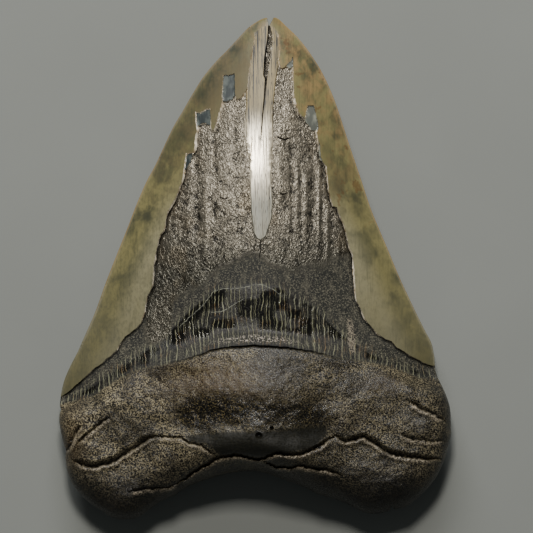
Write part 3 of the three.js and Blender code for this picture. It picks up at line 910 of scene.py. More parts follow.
    def relief(self, x: Array, y: Array) -> Array:
        """Swells, hollows, lumps and grain of the worn surface.

        Args:
            x: Where, across the tooth.
            y: Where, from the root to the tip.

        Returns:
            What they add to the height at each place.
        """
        root = smoothstep(0, 3, -self.above_root(x, y))
        lumps = 0.35 * lattice_noise(x, y, (9, 7), 81) + 0.22 * lattice_noise(x, y, (4, 3), 82)
        fine = 0.12 * lattice_noise(x, y, (1.7, 1.4), 83)
        fine = fine + 0.1 * lattice_noise(x, y, (0.8, 0.7), 84)
        fine = fine * (1 - 0.8 * soft_area(np.column_stack([x, y]), NECK_SHEET, 0.7))
        for sx, sy, width, length, height in SWELLS:
            lumps = lumps + height * np.exp(-(((x - sx) / width) ** 2) - ((y - sy) / length) ** 2)
        enamel = 0.08 * lattice_noise(x, y, (8, 14), 85)
        return root * (lumps + fine) + (1 - root) * enamel

    def height(self, x: Array, y: Array) -> Array:
        """Height of the finished front.

        Args:
            x: Where, across the tooth.
            y: Where, from the root to the tip.

        Returns:
            Heights above the table.
        """
        to_rim = nearest(np.column_stack([x, y]), self.form.smooth_rim, 9).gap
        surface = self.form.front(x, y) + self.relief(x, y) * smoothstep(0, 2.5, to_rim)
        surface = surface - self.depth(x, y)
        return np.maximum(surface, self.form.back(x, y) + 0.35)

    def zones(self, places: Array) -> Array:
        """The zone of each place, as a material slot.

        Args:
            places: Points, one row each.

        Returns:
            The slot of each place.
        """
        x, y = places.T
        to_break, wall = self.wall_width(places)
        to_layer = nearest(places, self.upper_layer, 3).gap
        in_field = inside(places, self.field)
        in_tongue = inside(places, self.tongue_field)
        window = self.in_window(places)
        zone = np.full(len(places), Zone.OUTER_ENAMEL.value)
        zone[self.above_root(x, y) < 0] = Zone.BONE.value
        zone[in_field] = Zone.BONE.value
        zone[in_field & window] = Zone.INNER_ENAMEL.value
        bright = ~window | inside(places + (0.35, 0), self.field)
        edge = in_field & bright & (np.abs(x) < 46.5) & (to_break < wall * np.where(window, 0.4, 1))
        zone[edge] = Zone.BROKEN_EDGE.value
        to_tongue = nearest(places, self.tongue, 3).gap
        tongue_side = in_field & (to_tongue < self.tongue_wall) & (to_break > wall)
        zone[tongue_side] = Zone.INNER_ENAMEL.value
        zone[in_tongue] = Zone.INNER_ENAMEL.value
        zone[in_tongue & (to_layer < self.layer_edge) & (y < 62.5)] = Zone.BROKEN_EDGE.value
        zone[self.split_depth(x, y) > 0.05] = Zone.BONE.value
        for line in self.veins:
            near = nearest(places, line, 3)
            zone[near.gap < self.vein_half * self.taper(near.along)] = Zone.MINERAL.value
        return zone

    def lines(self) -> list[Array]:
        """Every line that the front's triangles have to follow.

        Returns:
            The lines, each as its points.
        """
        found = [self.left, self.right, self.tongue, self.upper_layer, self.root]
        for line, widths in ((self.left, LEFT_WALL), (self.right, RIGHT_WALL)):
            width = self.wall_at(line, widths)
            found.append(line + line_sides(line) * width[:, None])
        found.append(self.tongue + line_sides(self.tongue) * self.tongue_wall)
        found.append(self.upper_layer - line_sides(self.upper_layer) * self.layer_edge)
        for shift in (-self.crevice, self.crevice):
            found.append(self.root + (0, shift))
        for window in WINDOWS:
            found.append(resample(np.vstack([window, window[:1]]), 0.5))
        for side in (SPLIT_LEFT, SPLIT_RIGHT):
            found.append(resample(np.array(side), 0.5))
        found.append(self.split_deep)
        for crack, line in self.cracks:
            reach = (crack.reach * self.taper(np.linspace(0, 1, len(line))))[:, None]
            other = reach if crack.kind is CrackKind.SLIT else self.fold_lip
            found += [line, line + line_sides(line) * reach, line - line_sides(line) * other]
        for line in self.veins:
            side = line_sides(line) * self.vein_half
            found += [line + side, line - side]
        turn = np.linspace(0, 2 * math.pi, 13)
        for fx, fy, radius in FORAMINA:
            for size in (0.3, 1.3):
                ring = np.column_stack([np.cos(turn), np.sin(turn)]) * radius * size
                found.append(ring + (fx, fy))
        return found


def linear(red: int, green: int, blue: int) -> tuple[float, float, float, float]:
    """A colour given in screen values from 0 to 255, as the shader takes it."""
    parts = [c / 255 for c in (red, green, blue)]
    return (*(c / 12.92 if c <= 0.04045 else ((c + 0.055) / 1.055) ** 2.4 for c in parts), 1.0)


class Value:
    """A number that varies over a surface, as the output of a shader node."""

    def __init__(self, graph: "Graph", socket: bpy.types.NodeSocket) -> None:
        """Wrap a node's output socket."""
        self.graph = graph
        self.socket = socket

    def _math(self, operation: str, *values: Any) -> "Value":
        """Add a Math node over values."""
        inputs = dict(enumerate(values))
        return self.graph.node("ShaderNodeMath", {"operation": operation}, inputs)

    def __add__(self, other: Any) -> "Value":
        """self + other."""
        return self._math("ADD", self, other)

    def __mul__(self, other: Any) -> "Value":
        """self * other."""
        return self._math("MULTIPLY", self, other)

    def __sub__(self, other: Any) -> "Value":
        """self - other."""
        return self._math("SUBTRACT", self, other)

    def __rsub__(self, other: Any) -> "Value":
        """other - self."""
        return self._math("SUBTRACT", other, self)

    def __truediv__(self, other: Any) -> "Value":
        """self / other."""
        return self._math("DIVIDE", self, other)

    def __abs__(self) -> "Value":
        """The size of self without its sign."""
        return self._math("ABSOLUTE", self)

    def floor(self) -> "Value":
        """The whole number below self."""
        return self._math("FLOOR", self)

    def fraction(self) -> "Value":
        """The part of self after the point."""
        return self._math("FRACT", self)

    def clip(self) -> "Value":
        """self kept from 0 to 1."""
        return self._math("MINIMUM", self._math("MAXIMUM", self, 0.0), 1.0)

    def step(self, low: Any, high: Any) -> "Value":
        """Smooth step of self from 0 at low to 1 at high."""
        settings = {"interpolation_type": "SMOOTHSTEP"}
        inputs = {"Value": self, "From Min": low, "From Max": high, "To Min": 0.0, "To Max": 1.0}
        return self.graph.node("ShaderNodeMapRange", settings, inputs)

    __radd__ = __add__
    __rmul__ = __mul__


class Graph:
    """The nodes of one material."""

    def __init__(self, name: str) -> None:
        """Make an empty material with a principled shader.

        Args:
            name: The material's name.
        """
        self.material = bpy.data.materials.new(name)
        self.material.use_nodes = True
        self.tree = self.material.node_tree
        self.tree.nodes.clear()
        self.shader = self.tree.nodes.new("ShaderNodeBsdfPrincipled")
        output = self.tree.nodes.new("ShaderNodeOutputMaterial")
        self.tree.links.new(self.shader.outputs[0], output.inputs["Surface"])
        self.place = self.node("ShaderNodeTexCoord", {}, {}, "Object")

    def node(self, kind: str, settings: dict[str, Any], inputs: dict[Any, Any],
             output: Any = 0) -> Value:
        """Add a node.

        Args:
            kind: The node's type.
            settings: Its own properties.
            inputs: Values or links by socket name, identifier or number.
            output: Name, identifier or number of the output to give back.

        Returns:
            The chosen output.
        """
        node = self.tree.nodes.new(kind)
        for name, value in settings.items():
            setattr(node, name, value)
        for key, value in inputs.items():
            self.feed(self.find(node.inputs, key), value)
        return Value(self, self.find(node.outputs, output))

    @staticmethod
    def find(sockets: Any, key: Any) -> bpy.types.NodeSocket:
        """The socket with a number, identifier or name.

        Args:
            sockets: A node's inputs or outputs.
            key: Number, identifier or name.

        Returns:
            The socket.
        """
        if isinstance(key, int):
            return sockets[key]
        for socket in sockets:
            if socket.identifier == key:
                return socket
        return sockets[key]

    def feed(self, socket: bpy.types.NodeSocket, value: Any) -> None:
        """Link a value to a socket, or set it there.

        Args:
            socket: The socket to fill.
            value: A link, or what it is set to.
        """
        if isinstance(value, Value):
            self.tree.links.new(value.socket, socket)
        else:
            socket.default_value = value

    def attribute(self, name: str) -> Value:
        """A number stored on the mesh."""
        return self.node("ShaderNodeAttribute", {"attribute_name": name}, {}, "Fac")

    def stretched(self, x: float, y: float, z: float) -> Value:
        """Object coordinates scaled along each axis."""
        settings = {"operation": "MULTIPLY"}
        return self.node("ShaderNodeVectorMath", settings, {0: self.place, 1: (x, y, z)})

    def noise(self, size: float, detail: float = 2.0, rough: float = 0.5,
              stretch: tuple[float, float, float] = (1, 1, 1), twist: float = 0.0) -> Value:
        """Noise with lumps of a size in millimetres.

        Args:
            size: Size of the largest lumps.
            detail: How many finer layers there are.
            rough: How strong the finer layers are.
            stretch: How much longer the lumps are along each axis.
            twist: How far the pattern is pulled out of place.

        Returns:
            The noise, from 0 to 1.
        """
        where = self.stretched(*(1 / (size * MM * s) for s in stretch))
        inputs = {"Vector": where, "Scale": 1.0, "Detail": detail, "Roughness": rough,
                  "Distortion": twist}
        return self.node("ShaderNodeTexNoise", {}, inputs, "Fac")

    def scales(self, size: float, stretch: tuple[float, float, float] = (1, 1, 1)) -> Value:
        """Rounded scales with sharp creases between them, as on crumpled foil.

        Args:
            size: Size of a scale in millimetres.
            stretch: How much longer the scales are along each axis.

        Returns:
            0 in a crease and about 1 on top of a scale.
        """
        return abs(self.noise(size, 1, 0.4, stretch, 1.1) - 0.5) * 4

    def blend(self, a: Any, b: Any, share: Any) -> Value:
        """Colour between a and b."""
        inputs = {"Factor_Float": share, "A_Color": a, "B_Color": b}
        return self.node("ShaderNodeMix", {"data_type": "RGBA"}, inputs, "Result_Color")

    def bump(self, height: Value) -> Value:
        """A bump from a height in millimetres."""
        inputs = {"Height": height, "Distance": MM, "Strength": 1.0}
        return self.node("ShaderNodeBump", {}, inputs, "Normal")

    def finish(self, color: Value, roughness: Any, normal: Value,
               **fixed: float) -> bpy.types.Material:
        """Connect the shader and give back the material.

        Args:
            color: Base colour.
            roughness: Roughness.
            normal: Normal, from a bump.
            fixed: Numbers that are the same all over, by socket name.

        Returns:
            The material.
        """
        self.feed(self.shader.inputs["Base Color"], color)
        self.feed(self.shader.inputs["Roughness"], roughness)
        self.feed(self.shader.inputs["Normal"], normal)
        for name, value in fixed.items():
            self.shader.inputs[name.replace("_", " ")].default_value = value
        return self.material


@dataclass(frozen=True)
class OuterEnamel:
    """Olive polished enamel with dark clouds towards the cutting edge."""

    olive: Color = linear(110, 104, 68)
    pale: Color = linear(134, 129, 104)
    dark: Color = linear(40, 45, 36)
    tan: Color = linear(142, 118, 76)
    rust: Color = linear(84, 58, 32)
    ochre: Color = linear(146, 114, 58)
    foot: Color = linear(72, 69, 50)
    shade: Color = linear(52, 54, 38)
    brown: Color = linear(84, 74, 46)

    def build(self) -> bpy.types.Material:
        """Make the material.

        Returns:
            The finished material.
        """
        g = Graph("outer_enamel")
        rim, height, right = (g.attribute(n) for n in ("rim", "height_up", "right"))
        clouds = g.noise(6, 3, 0.6, (1, 1.4, 1), 0.4)
        mottle = g.noise(3.2, 2, 0.55, (1, 1.2, 1), 0.4)
        fleck = g.noise(0.8, 3, 0.6, (1, 1.6, 1))
        strip = (rim.step(3, 9) * (1 - height.step(6, 30)) * (0.35 + clouds * 0.7)).clip()
        color = g.blend(self.olive, self.pale, strip)
        freckle = mottle.step(0.42, 0.62) * (0.18 + height.step(0, 30) * 0.2)
        color = g.blend(color, self.dark, freckle)
        blot = (clouds.step(0.42, 0.62) * (1 - rim.step(3.5, 11)) * (0.45 + mottle * 0.7)).clip()
        color = g.blend(color, self.dark, blot * (0.5 + height.step(-20, 20) * 0.3))
        cloud = (g.attribute("cloud") * 1.4 + clouds * 1.2 + mottle * 0.8 - 1.25).step(0, 1)
        color = g.blend(color, self.dark, cloud * (0.55 + height.step(30, 50) * 0.3))
        warm = (mottle * 0.75 + fleck * 0.25).step(0.38, 0.66) * height.step(8, 55)
        color = g.blend(color, self.tan, warm * (0.4 + right * 0.35))
        foot = (1 - height.step(-34, 12)) * (1 - rim.step(12, 20) * 0.5)
        color = g.blend(color, self.foot, foot * 0.72)
        grain = g.noise(0.6, 4, 0.7, (1, 2, 2))
        color = g.blend(color, self.dark, grain.step(0.44, 0.66) * (0.3 - right * 0.14))
        rusty = g.noise(3.4, 3, 0.6).step(0.6, 0.68) * right * height.step(5, 20)
        color = g.blend(color, self.rust, rusty * 0.6)
        streak = g.noise(0.45, 2, 0.5, (1, 16, 16))
        color = g.blend(color, self.dark, streak.step(0.5, 0.75) * 0.25)
        hair = g.noise(0.22, 1, 0.5, (1, 60, 60)).step(0.62, 0.7) * height.step(34, 52)
        color = g.blend(color, self.dark, hair * 0.3)
        color = g.blend(color, self.ochre, (1 - rim.step(0.05, 0.42)) * height.step(-24, 8) * 0.5)
        shade = height.step(16, 42) * (1 - right)
        color = g.blend(color, self.shade, shade * 0.42)
        top = height.step(30, 50) * (1 - height.step(56, 66)) * (1 - right) * rim.step(2, 6)
        color = g.blend(color, self.brown, top * 0.7)
        normal = g.bump(g.noise(1.5, 2, 0.5, (1, 5, 5)) * 0.03 + streak * 0.012)
        return g.finish(color, 0.34 + mottle * 0.14 + top * 0.2, normal, IOR=1.42)


@dataclass(frozen=True)
class BrokenEnamel:
    """Cream fibrous broken edge of the enamel, stained tan in places."""

    cream: Color = linear(232, 222, 200)
    tan: Color = linear(150, 128, 92)
    stain: Color = linear(70, 62, 46)
    scorch: Color = linear(150, 116, 64)

    def build(self) -> bpy.types.Material:
        """Make the material.

        Returns:
            The finished material.
        """
        g = Graph("broken_enamel")
        fibre = g.noise(0.35, 3, 0.6, (1, 3, 1))
        patch = g.noise(2.6, 2, 0.5)
        frayed = fibre.step(0.48, 0.7) * 0.7 + patch.step(0.5, 0.62) * 0.5
        color = g.blend(self.cream, self.tan, frayed)
        color = g.blend(color, self.stain, patch.step(0.62, 0.72) * 0.7)
        color = g.blend(color, self.scorch, g.attribute("scorch"))
        tan_and_lip_light = g.attribute("height_up").step(44, 56) * 0.5 + patch.step(0.4, 0.6) * 0.3
        color = g.blend(color, self.tan, tan_and_lip_light)
        return g.finish(color, 0.4 + fibre * 0.15, g.bump(fibre * 0.06))


@dataclass(frozen=True)
class InnerEnamel:
    """Silvery fibrous inner enamel, blue-grey in the small windows, with a painted highlight as a
    cream band across its middle.
    """

    # cream is a painted highlight across the middle of the tongue
    cream: Color = linear(252, 240, 214)
    silver: Color = linear(132, 131, 118)
    tan: Color = linear(132, 118, 82)
    slate: Color = linear(40, 46, 48)
    mist: Color = linear(92, 98, 94)
    pearl: Color = linear(140, 141, 128)
    black: Color = linear(34, 32, 28)

    def build(self) -> bpy.types.Material:
        """Make the material.

        Returns:
            The finished material.
        """
        g = Graph("inner_enamel")
        height, window = g.attribute("height_up"), g.attribute("window")
        # bright marks the band of painted highlight, which is also made smoother and slightly
        # metallic there
        bright = height.step(16, 29) * (1 - height.step(34, 44))
        color = g.blend(self.silver, self.tan, height.step(26, 46))
        color = g.blend(color, self.cream, bright)
        fibre = g.noise(0.3, 3, 0.6, (1, 30, 30))
        dash = g.noise(0.24, 1, 0.5, (1, 10, 10)).step(0.58, 0.66)
        hair = g.noise(0.42, 2, 0.65, (1, 50, 50)).step(0.48, 0.62) * height.step(36, 46)
        color = g.blend(color, self.tan, fibre.step(0.42, 0.6) * 0.35)
        dark = fibre.step(0.48, 0.66) * (0.7 - bright * 0.1)
        dark = dark + dash * (0.6 - bright * 0.1) + hair * 0.8
        color = g.blend(color, self.black, dark)
        cool = g.noise(1.6, 2, 0.5, (1, 2, 2)).step(0.4, 0.66)
        slate = g.blend(self.slate, self.mist, cool * 0.7 + fibre * 0.3)
        slate = g.blend(slate, self.pearl, g.attribute("right") * (0.3 + cool * 0.5))
        color = g.blend(color, slate, window)
        rough = 0.44 - bright * 0.22 - window * 0.1 + fibre * 0.08
        g.feed(g.shader.inputs["Metallic"], bright * 0.25)
        return g.finish(color, rough, g.bump(fibre * (0.03 - bright * 0.01)), IOR=1.45)


@dataclass(frozen=True)
class FossilBone:
    """Dark dentine, the near-black cracked band at the neck, and the grainy root, with painted
    shade in hollows, creases and crevices and at the root's lower edge, and painted glints on the
    ledge.
    """

    # colour of random dark mottling and of the painted shade in the dentine's hollows, flutes and
    # creases
    hollow_shade: Color = linear(24, 23, 19)
    dentine: Color = linear(131, 124, 110)
    # lower is painted shade: the dentine's colour towards its lower end, where its highlight fades
    lower: Color = linear(75, 73, 64)
    brown: Color = linear(98, 86, 64)
    smooth: Color = linear(26, 27, 22)
    pit: Color = linear(12, 12, 10)
    grey: Color = linear(70, 67, 56)
    speck: Color = linear(112, 108, 92)
    black: Color = linear(5, 5, 5)
    earth: Color = linear(13, 12, 9)
    crumb: Color = linear(152, 141, 112)
    gold: Color = linear(140, 124, 84)
    ochre: Color = linear(78, 60, 34)
    pale: Color = linear(150, 139, 120)
    line: Color = linear(134, 133, 106)
    tan_line: Color = linear(110, 84, 48)
    # pale specks painted on the ledge as its glints of highlight
    ledge_glint: Color = linear(172, 162, 150)
    sheet: Color = linear(18, 18, 13)

    def cracks(self, g: Graph, apart: float, width: float) -> Value:
        """Fine wavy upright cracks.

        Args:
            g: The material's nodes.
            apart: Mean distance between neighbours in millimetres.
            width: Largest half width, as a share of that distance.

        Returns:
            1 in a crack and 0 beside it.
        """
        axes = g.node("ShaderNodeSeparateXYZ", {}, {0: g.place}, "X")
        sway = g.noise(9, 0, 0.5) * 2 + g.noise(2.2, 2, 0.6, (1.5, 1, 1)) * 1.1
        across = (axes / MM + sway) / apart
        number = across.floor()
        settings = {"noise_dimensions": "1D"}
        chance = g.node("ShaderNodeTexWhiteNoise", settings, {"W": number}, "Value")
        off = abs(across.fraction() - 0.3 - chance * 0.4)
        line = 1 - off.step(0.01, g.noise(2.5, 2, 0.6) * width)
        broken = g.noise(1.7, 2, 0.6, (0.7, 1.5, 1)).step(0.34, 0.52)
        return (line * broken * (0.5 + chance * 0.5)).clip()

    def bare_field(self, g: Graph, grit: Value, crumple: Value, crease: Value) -> Value:
        """Colour of the dentine and of the smooth band below it, with painted shade in the
        dentine's hollows, flutes and creases and towards its lower end.

        Args:
            g: The material's nodes.
            grit: Fine grain.
            crumple: Lumps of the surface.
            crease: Creases between the lumps, darkened with painted shade.

        Returns:
            The colour.
        """
        tint = g.noise(7, 3, 0.6, (1, 1.6, 1.6)) + g.attribute("rust") * 0.14
        names = ("grain", "dark", "hollow_shade", "height_up")
        grain, dark, hollow_shade, height = (g.attribute(n) for n in names)
        # the dentine's own colour shows on the peaks; its hollows and flutes get painted shade,
        # mixed with random dark mottling
        peak = ((1 - hollow_shade) * 0.5 + crumple * 1.1 - 0.32).step(0.2, 0.62)
        # painted shade: the dentine darkens towards its lower end, where its highlight fades
        dentine = g.blend(self.lower, self.dentine, height.step(-4, 22))
        rough = g.blend(self.hollow_shade, dentine, peak)
        rough = g.blend(rough, self.brown, tint.step(0.54, 0.74) * 0.3)
        # painted shade in the creases between the scales
        rough = g.blend(rough, self.hollow_shade, crease * 0.5)
        smooth = g.blend(self.smooth, self.pit, crumple.step(0.42, 0.56) * 0.75)
        band = g.noise(1.6, 4, 0.65, (1, 2.2, 2.2))
        smooth = g.blend(smooth, self.grey, band.step(0.48, 0.68) * 0.6)
        smooth = g.blend(smooth, self.speck, grit.step(0.5, 0.62) * 0.55)
        color = g.blend(smooth, rough, grain)
        return g.blend(color, self.black, dark * 0.96)

    def root(self, g: Graph, grit: Value, crumple: Value) -> Value:
        """Colour of the root, painted darker along its lower edge as painted shade.

        Args:
            g: The material's nodes.
            grit: Fine grain.
            crumple: Lumps of the surface.

        Returns:
            The colour.
        """
        pored, ochre, sheet = (g.attribute(n) for n in ("pored", "ochre", "sheet"))
        fibre = g.noise(0.5, 2, 0.6, (1, 7, 7))
        salt = g.noise(0.38, 2, 0.6).step(0.48, 0.56)
        color = g.blend(self.earth, self.crumb, salt * (0.5 + fibre * 0.7))
        patch = g.noise(8, 4, 0.62, (1.3, 1, 1), 0.6)
        color = g.blend(color, self.earth, patch.step(0.42, 0.66) * 0.7)
        color = g.blend(color, self.earth, crumple.step(0.46, 0.66) * 0.45)
        color = g.blend(color, self.ochre, ochre * grit.step(0.35, 0.6) * 0.75)
        fleck = g.noise(0.42, 3, 0.65)
        color = g.blend(color, self.black, pored * 0.97)
        color = g.blend(color, self.gold, pored * fleck.step(0.55, 0.62) * 0.42)
        # painted shade: the lower ends of the root's lobes darken towards black
        low = 1 - g.attribute("height_up").step(-64, -46)
        color = g.blend(color, self.black, low * 0.9)
        color = g.blend(color, self.earth, g.attribute("right") * 0.36)
        return g.blend(color, self.sheet, sheet * 0.94)

    def build(self) -> bpy.types.Material:
        """Make the material.

        Returns:
            The finished material.
        """
        g = Graph("fossil_bone")
        names = ("grain", "dark", "lines", "root", "pale", "foot", "sheet", "pored", "lip")
        grain, dark, lines, root, pale, foot, sheet, pored, lip = (g.attribute(n) for n in names)
        crumple = g.noise(0.85, 3, 0.52, (0.85, 1.2, 1), 1.5)
        large, small = g.scales(1.3, (0.8, 1.3, 1)), g.scales(0.66, (0.85, 1.2, 1))
        foil = large * 0.125 + small * 0.045
        crease = ((1 - large.step(0.0, 0.3)) * 0.6 + (1 - small.step(0.0, 0.3)) * 0.5).clip()
        grit = g.noise(0.4, 3, 0.66)
        bare = self.bare_field(g, grit, crumple, crease)
        color = g.blend(bare, self.root(g, grit, crumple), root)
        color = g.blend(color, self.pale, pale * grit.step(0.4, 0.6) * 0.7)
        # painted highlight: pale lower lips of the folds, patchy along their length
        tan_and_lip_light = g.noise(3, 2, 0.6).step(0.36, 0.6)
        color = g.blend(color, self.pale, lip * grit.step(0.4, 0.58) * (0.3 + tan_and_lip_light * 0.6))
        ledge = g.attribute("ledge")
        color = g.blend(color, self.smooth, ledge * 0.8)
        # painted highlight: pale specks on the ledge stand in for its glints
        ledge_glint = ledge.step(0.2, 0.9) * (grit * 0.75 + crumple * 0.25).step(0.52, 0.57)
        color = g.blend(color, self.ledge_glint, ledge_glint * 0.75)
        crack = (self.cracks(g, 1.28, 0.22) + self.cracks(g, 0.97, 0.13) * 0.6).clip() * lines
        tan = g.blend(self.line, self.tan_line, g.noise(4, 1, 0.5).step(0.54, 0.66) * 0.8)
        color = g.blend(color, tan, crack * 0.9)
        # painted shade: black at the foot of the enamel breaks, in the groove at the root line, in
        # the split, above the folds and in the slits
        color = g.blend(color, self.black, foot * 0.9)
        dull = ((1 - grain) * (1 - dark) * (1 - root)).step(0.02, 0.45)
        rough = 0.2 + grit * 0.1 + grain * 0.05 + dull * 0.5 - dark * 0.1
        rough = (rough + root * grit.step(0.4, 0.6) * 0.28 - pored * 0.15 + sheet * 0.1).clip()
        even = (1 - sheet * 0.75) * (1 - dull * 0.3)
        height = foil * (0.04 + grain + root * 0.15) * even + crumple * (0.03 + grain * 0.05)
        gritty = grit * (0.02 + grain * 0.03 + dull * 0.07 + root * 0.19) * even
        height = height + gritty - pored * grit * 0.08
        g.feed(g.shader.inputs["Metallic"], grain * (1 - root) * 0.6)
        return g.finish(color, rough, g.bump(height + crack * 0.03), IOR=1.4)


@dataclass(frozen=True)
class MineralVein:
    """Pale mineral in the long cracks of the neck."""

    pale: Color = linear(104, 105, 90)
    grey: Color = linear(34, 34, 30)

    def build(self) -> bpy.types.Material:
        """Make the material.

        Returns:
            The finished material.
        """
        g = Graph("mineral_vein")
        grain = g.noise(0.9, 3, 0.6)
        color = g.blend(self.pale, self.grey, grain.step(0.42, 0.6))
        return g.finish(color, 0.5 + grain * 0.1, g.bump(grain * 0.05))


@dataclass
class Tooth:
    """The whole tooth: crown, neck and root in one closed mesh."""

    front_spacing: float = 0.48
    field_spacing: float = 0.33
    back_spacing: float = 1.3
    smooth_angle: float = 38.0
    form: ToothForm = field(default_factory=ToothForm)
    losses: Losses = field(init=False)

    def __post_init__(self) -> None:
        """Work out the breaks over the form."""
        self.losses = Losses(self.form)

    def front_sheet(self) -> tuple[Array, Array, Array, Array]:
        """The upper surface.

        Returns:
            Its vertices, its triangles, the slot of each triangle, and its border in order.
        """
        sheet = Triangulation(self.form.rim)
        closed = np.vstack([self.form.rim, self.form.rim[:1]])
        for line in self.losses.lines():
            sheet.add_line(line)
        for reach in (0.1, 0.35, 0.75):
            ring = closed - line_sides(closed) * reach
            gap = nearest(ring, closed).gap
            runs = np.split(ring, np.flatnonzero(gap < reach * 0.9) + 1)
            for run in runs:
                if len(run) > 2:
                    sheet.add_line(run[:-1])
        sheet.fill(self.field_spacing, 7, self.losses.field)
        sheet.fill(self.front_spacing, 5, self.form.rim)
        places, triangles = sheet.build()
        border = border_loop(triangles)
        z = self.losses.height(*places.T)
        z[border] = self.form.rim_height(places[border][:, 1])
        slots = self.losses.zones(places[triangles].mean(1))
        return np.column_stack([places, z]), triangles, slots, border

    def back_sheet(self, rim: Array) -> tuple[Array, Array, Array]:
        """The underside inside a rim.

        Args:
            rim: The border of the upper surface, in order.

        Returns:
            Its vertices, its triangles facing down, and the slot of each triangle.
        """
        sheet = Triangulation(rim[:, :2])
        closed = np.vstack([rim[:, :2], rim[:1, :2]])
        for reach in (0.12, 0.4, 0.9, 1.6):
            ring = resample(closed, 0.7)
            ring = ring + line_sides(ring) * reach
            gap = nearest(ring, closed).gap
            for run in np.split(ring, np.flatnonzero(gap < reach * 0.9) + 1):
                if len(run) > 2:
                    sheet.add_line(run[:-1])
        root_line = ragged(BACK_ROOT_LINE, 16, step=0.7, amount=0.1)
        for shift in (0, -0.5):
            sheet.add_line(root_line[3:-3] + (0, shift))
        sheet.fill(self.back_spacing, 6, rim[:, :2])
        places, triangles = sheet.build()
        x, y = places.T
        above = y - np.interp(x, *root_line.T)
        gap = nearest(places, closed).gap
        inward = smoothstep(0, 2.5, gap)
        lumps = 0.35 * lattice_noise(x, y, (8, 7), 91) + 0.15 * lattice_noise(x, y, (3, 2.6), 92)
        z = self.form.back(x, y) + inward * lumps * smoothstep(0, 3, -above)
        z = np.where(above > 0, z, z + 0.35 * np.clip(-above / 0.5, 0, 1) * inward)
        z = np.maximum(z, 0)
        border = gap < 1e-3
        z[border] = self.form.rim_height(y[border])
        middle = places[triangles].mean(1)
        crown = middle[:, 1] > np.interp(middle[:, 0], *root_line.T)
        slots = np.where(crown, Zone.OUTER_ENAMEL.value, Zone.BONE.value)
        return np.column_stack([places, z]), triangles[:, ::-1], slots

    def build(self) -> bpy.types.Object:
        """Make the tooth's mesh and dress it.

        Returns:
            The finished object.
        """
        front, front_faces, front_slots, border = self.front_sheet()
        back, back_faces, back_slots = self.back_sheet(front[border])
        verts = np.vstack([front, back]) * MM
        faces = np.vstack([front_faces, back_faces + len(front)])
        mesh = bpy.data.meshes.new("tooth_worn")
        mesh.from_pydata(verts.tolist(), [], faces.tolist())
        mesh.polygons.foreach_set("material_index", np.concatenate([front_slots, back_slots]))
        tooth = bpy.data.objects.new("tooth_worn", mesh)
        bpy.context.scene.collection.objects.link(tooth)
        bpy.ops.object.select_all(action="DESELECT")
        tooth.select_set(True)
        bpy.context.view_layer.objects.active = tooth
        bpy.ops.object.mode_set(mode="EDIT")
        bpy.ops.mesh.select_all(action="SELECT")
        bpy.ops.mesh.remove_doubles(threshold=1e-6)
        bpy.ops.object.mode_set(mode="OBJECT")
        self.store_masks(mesh)
        for finish in (OuterEnamel(), BrokenEnamel(), InnerEnamel(), FossilBone(), MineralVein()):
            mesh.materials.append(finish.build())
        bpy.ops.object.shade_smooth_by_angle(angle=math.radians(self.smooth_angle))
        return tooth

    def store_masks(self, mesh: bpy.types.Mesh) -> None:
        """Store on the vertices what the finishes read.

        Args:
            mesh: The tooth's mesh, in metres.
        """
        flat = np.empty(len(mesh.vertices) * 3)
        mesh.vertices.foreach_get("co", flat)
        x, y, z = (flat.reshape(-1, 3) / MM).T
        places = np.column_stack([x, y])
        front = z > self.form.rim_height(y) - 0.02
        above_back = y - np.interp(x, *np.array(BACK_ROOT_LINE).T)
        above = np.where(front, self.losses.above_root(x, y), above_back)
        to_rim = nearest(places, self.form.smooth_rim).gap
        to_break, wall = self.losses.wall_width(places)
        below_band = np.interp(x, *np.array(BAND_TOP).T) - y
        field_mask = front & (above > 0)
        wobble = lattice_noise(x, y, (2.5, 2), 61) * 0.8
        rough = smoothstep(1.0, -2.6, np.interp(x, *np.array(SMOOTH_TOP).T) - y + wobble)
        centre = bell(x - 0.5, 15)
        ledge = bell(x - 0.5, 13) * bell(above - 2, 1.15)
        flange = soft_area(places, FLANGE, 0.9) * front
        mineral = soft_area(places, MINERAL, 0.35) * front
        band = smoothstep(-0.4 - 3.4 * centre, 1.0, below_band) * field_mask
        side = smoothstep(24, 31, np.abs(x))
        low = mix(smoothstep(1.6, 6, above), smoothstep(0, 1.5, above), side)
        dark = band * mix(0.55, mix(1, 0.92, side), low)
        patches = smoothstep(-0.35, 0.25, lattice_noise(x, y, (3.5, 2.5), 62))
        # painted highlight on the folds' lower lips, and painted shade above the folds and in the
        # slits
        lip, shade = self.fold_masks(places)
        # how deep each place lies among the dentine's lumps and flutes, for the painted shade in
        # its hollows
        hollow_shade = 0.45 + 0.4 * self.losses.crumple(x, y) + 0.38 * self.losses.flutes(x, y)
        coarse = np.where(above > 0, rough, 0.3) + ledge * 0.3 + flange
        lines = smoothstep(-2.6, 0.2, below_band) * field_mask * (1 - flange)
        pored = np.maximum(soft_area(places, PORED, 3.4), 0.34 * bell(x - 1, 24) * (above < 0))
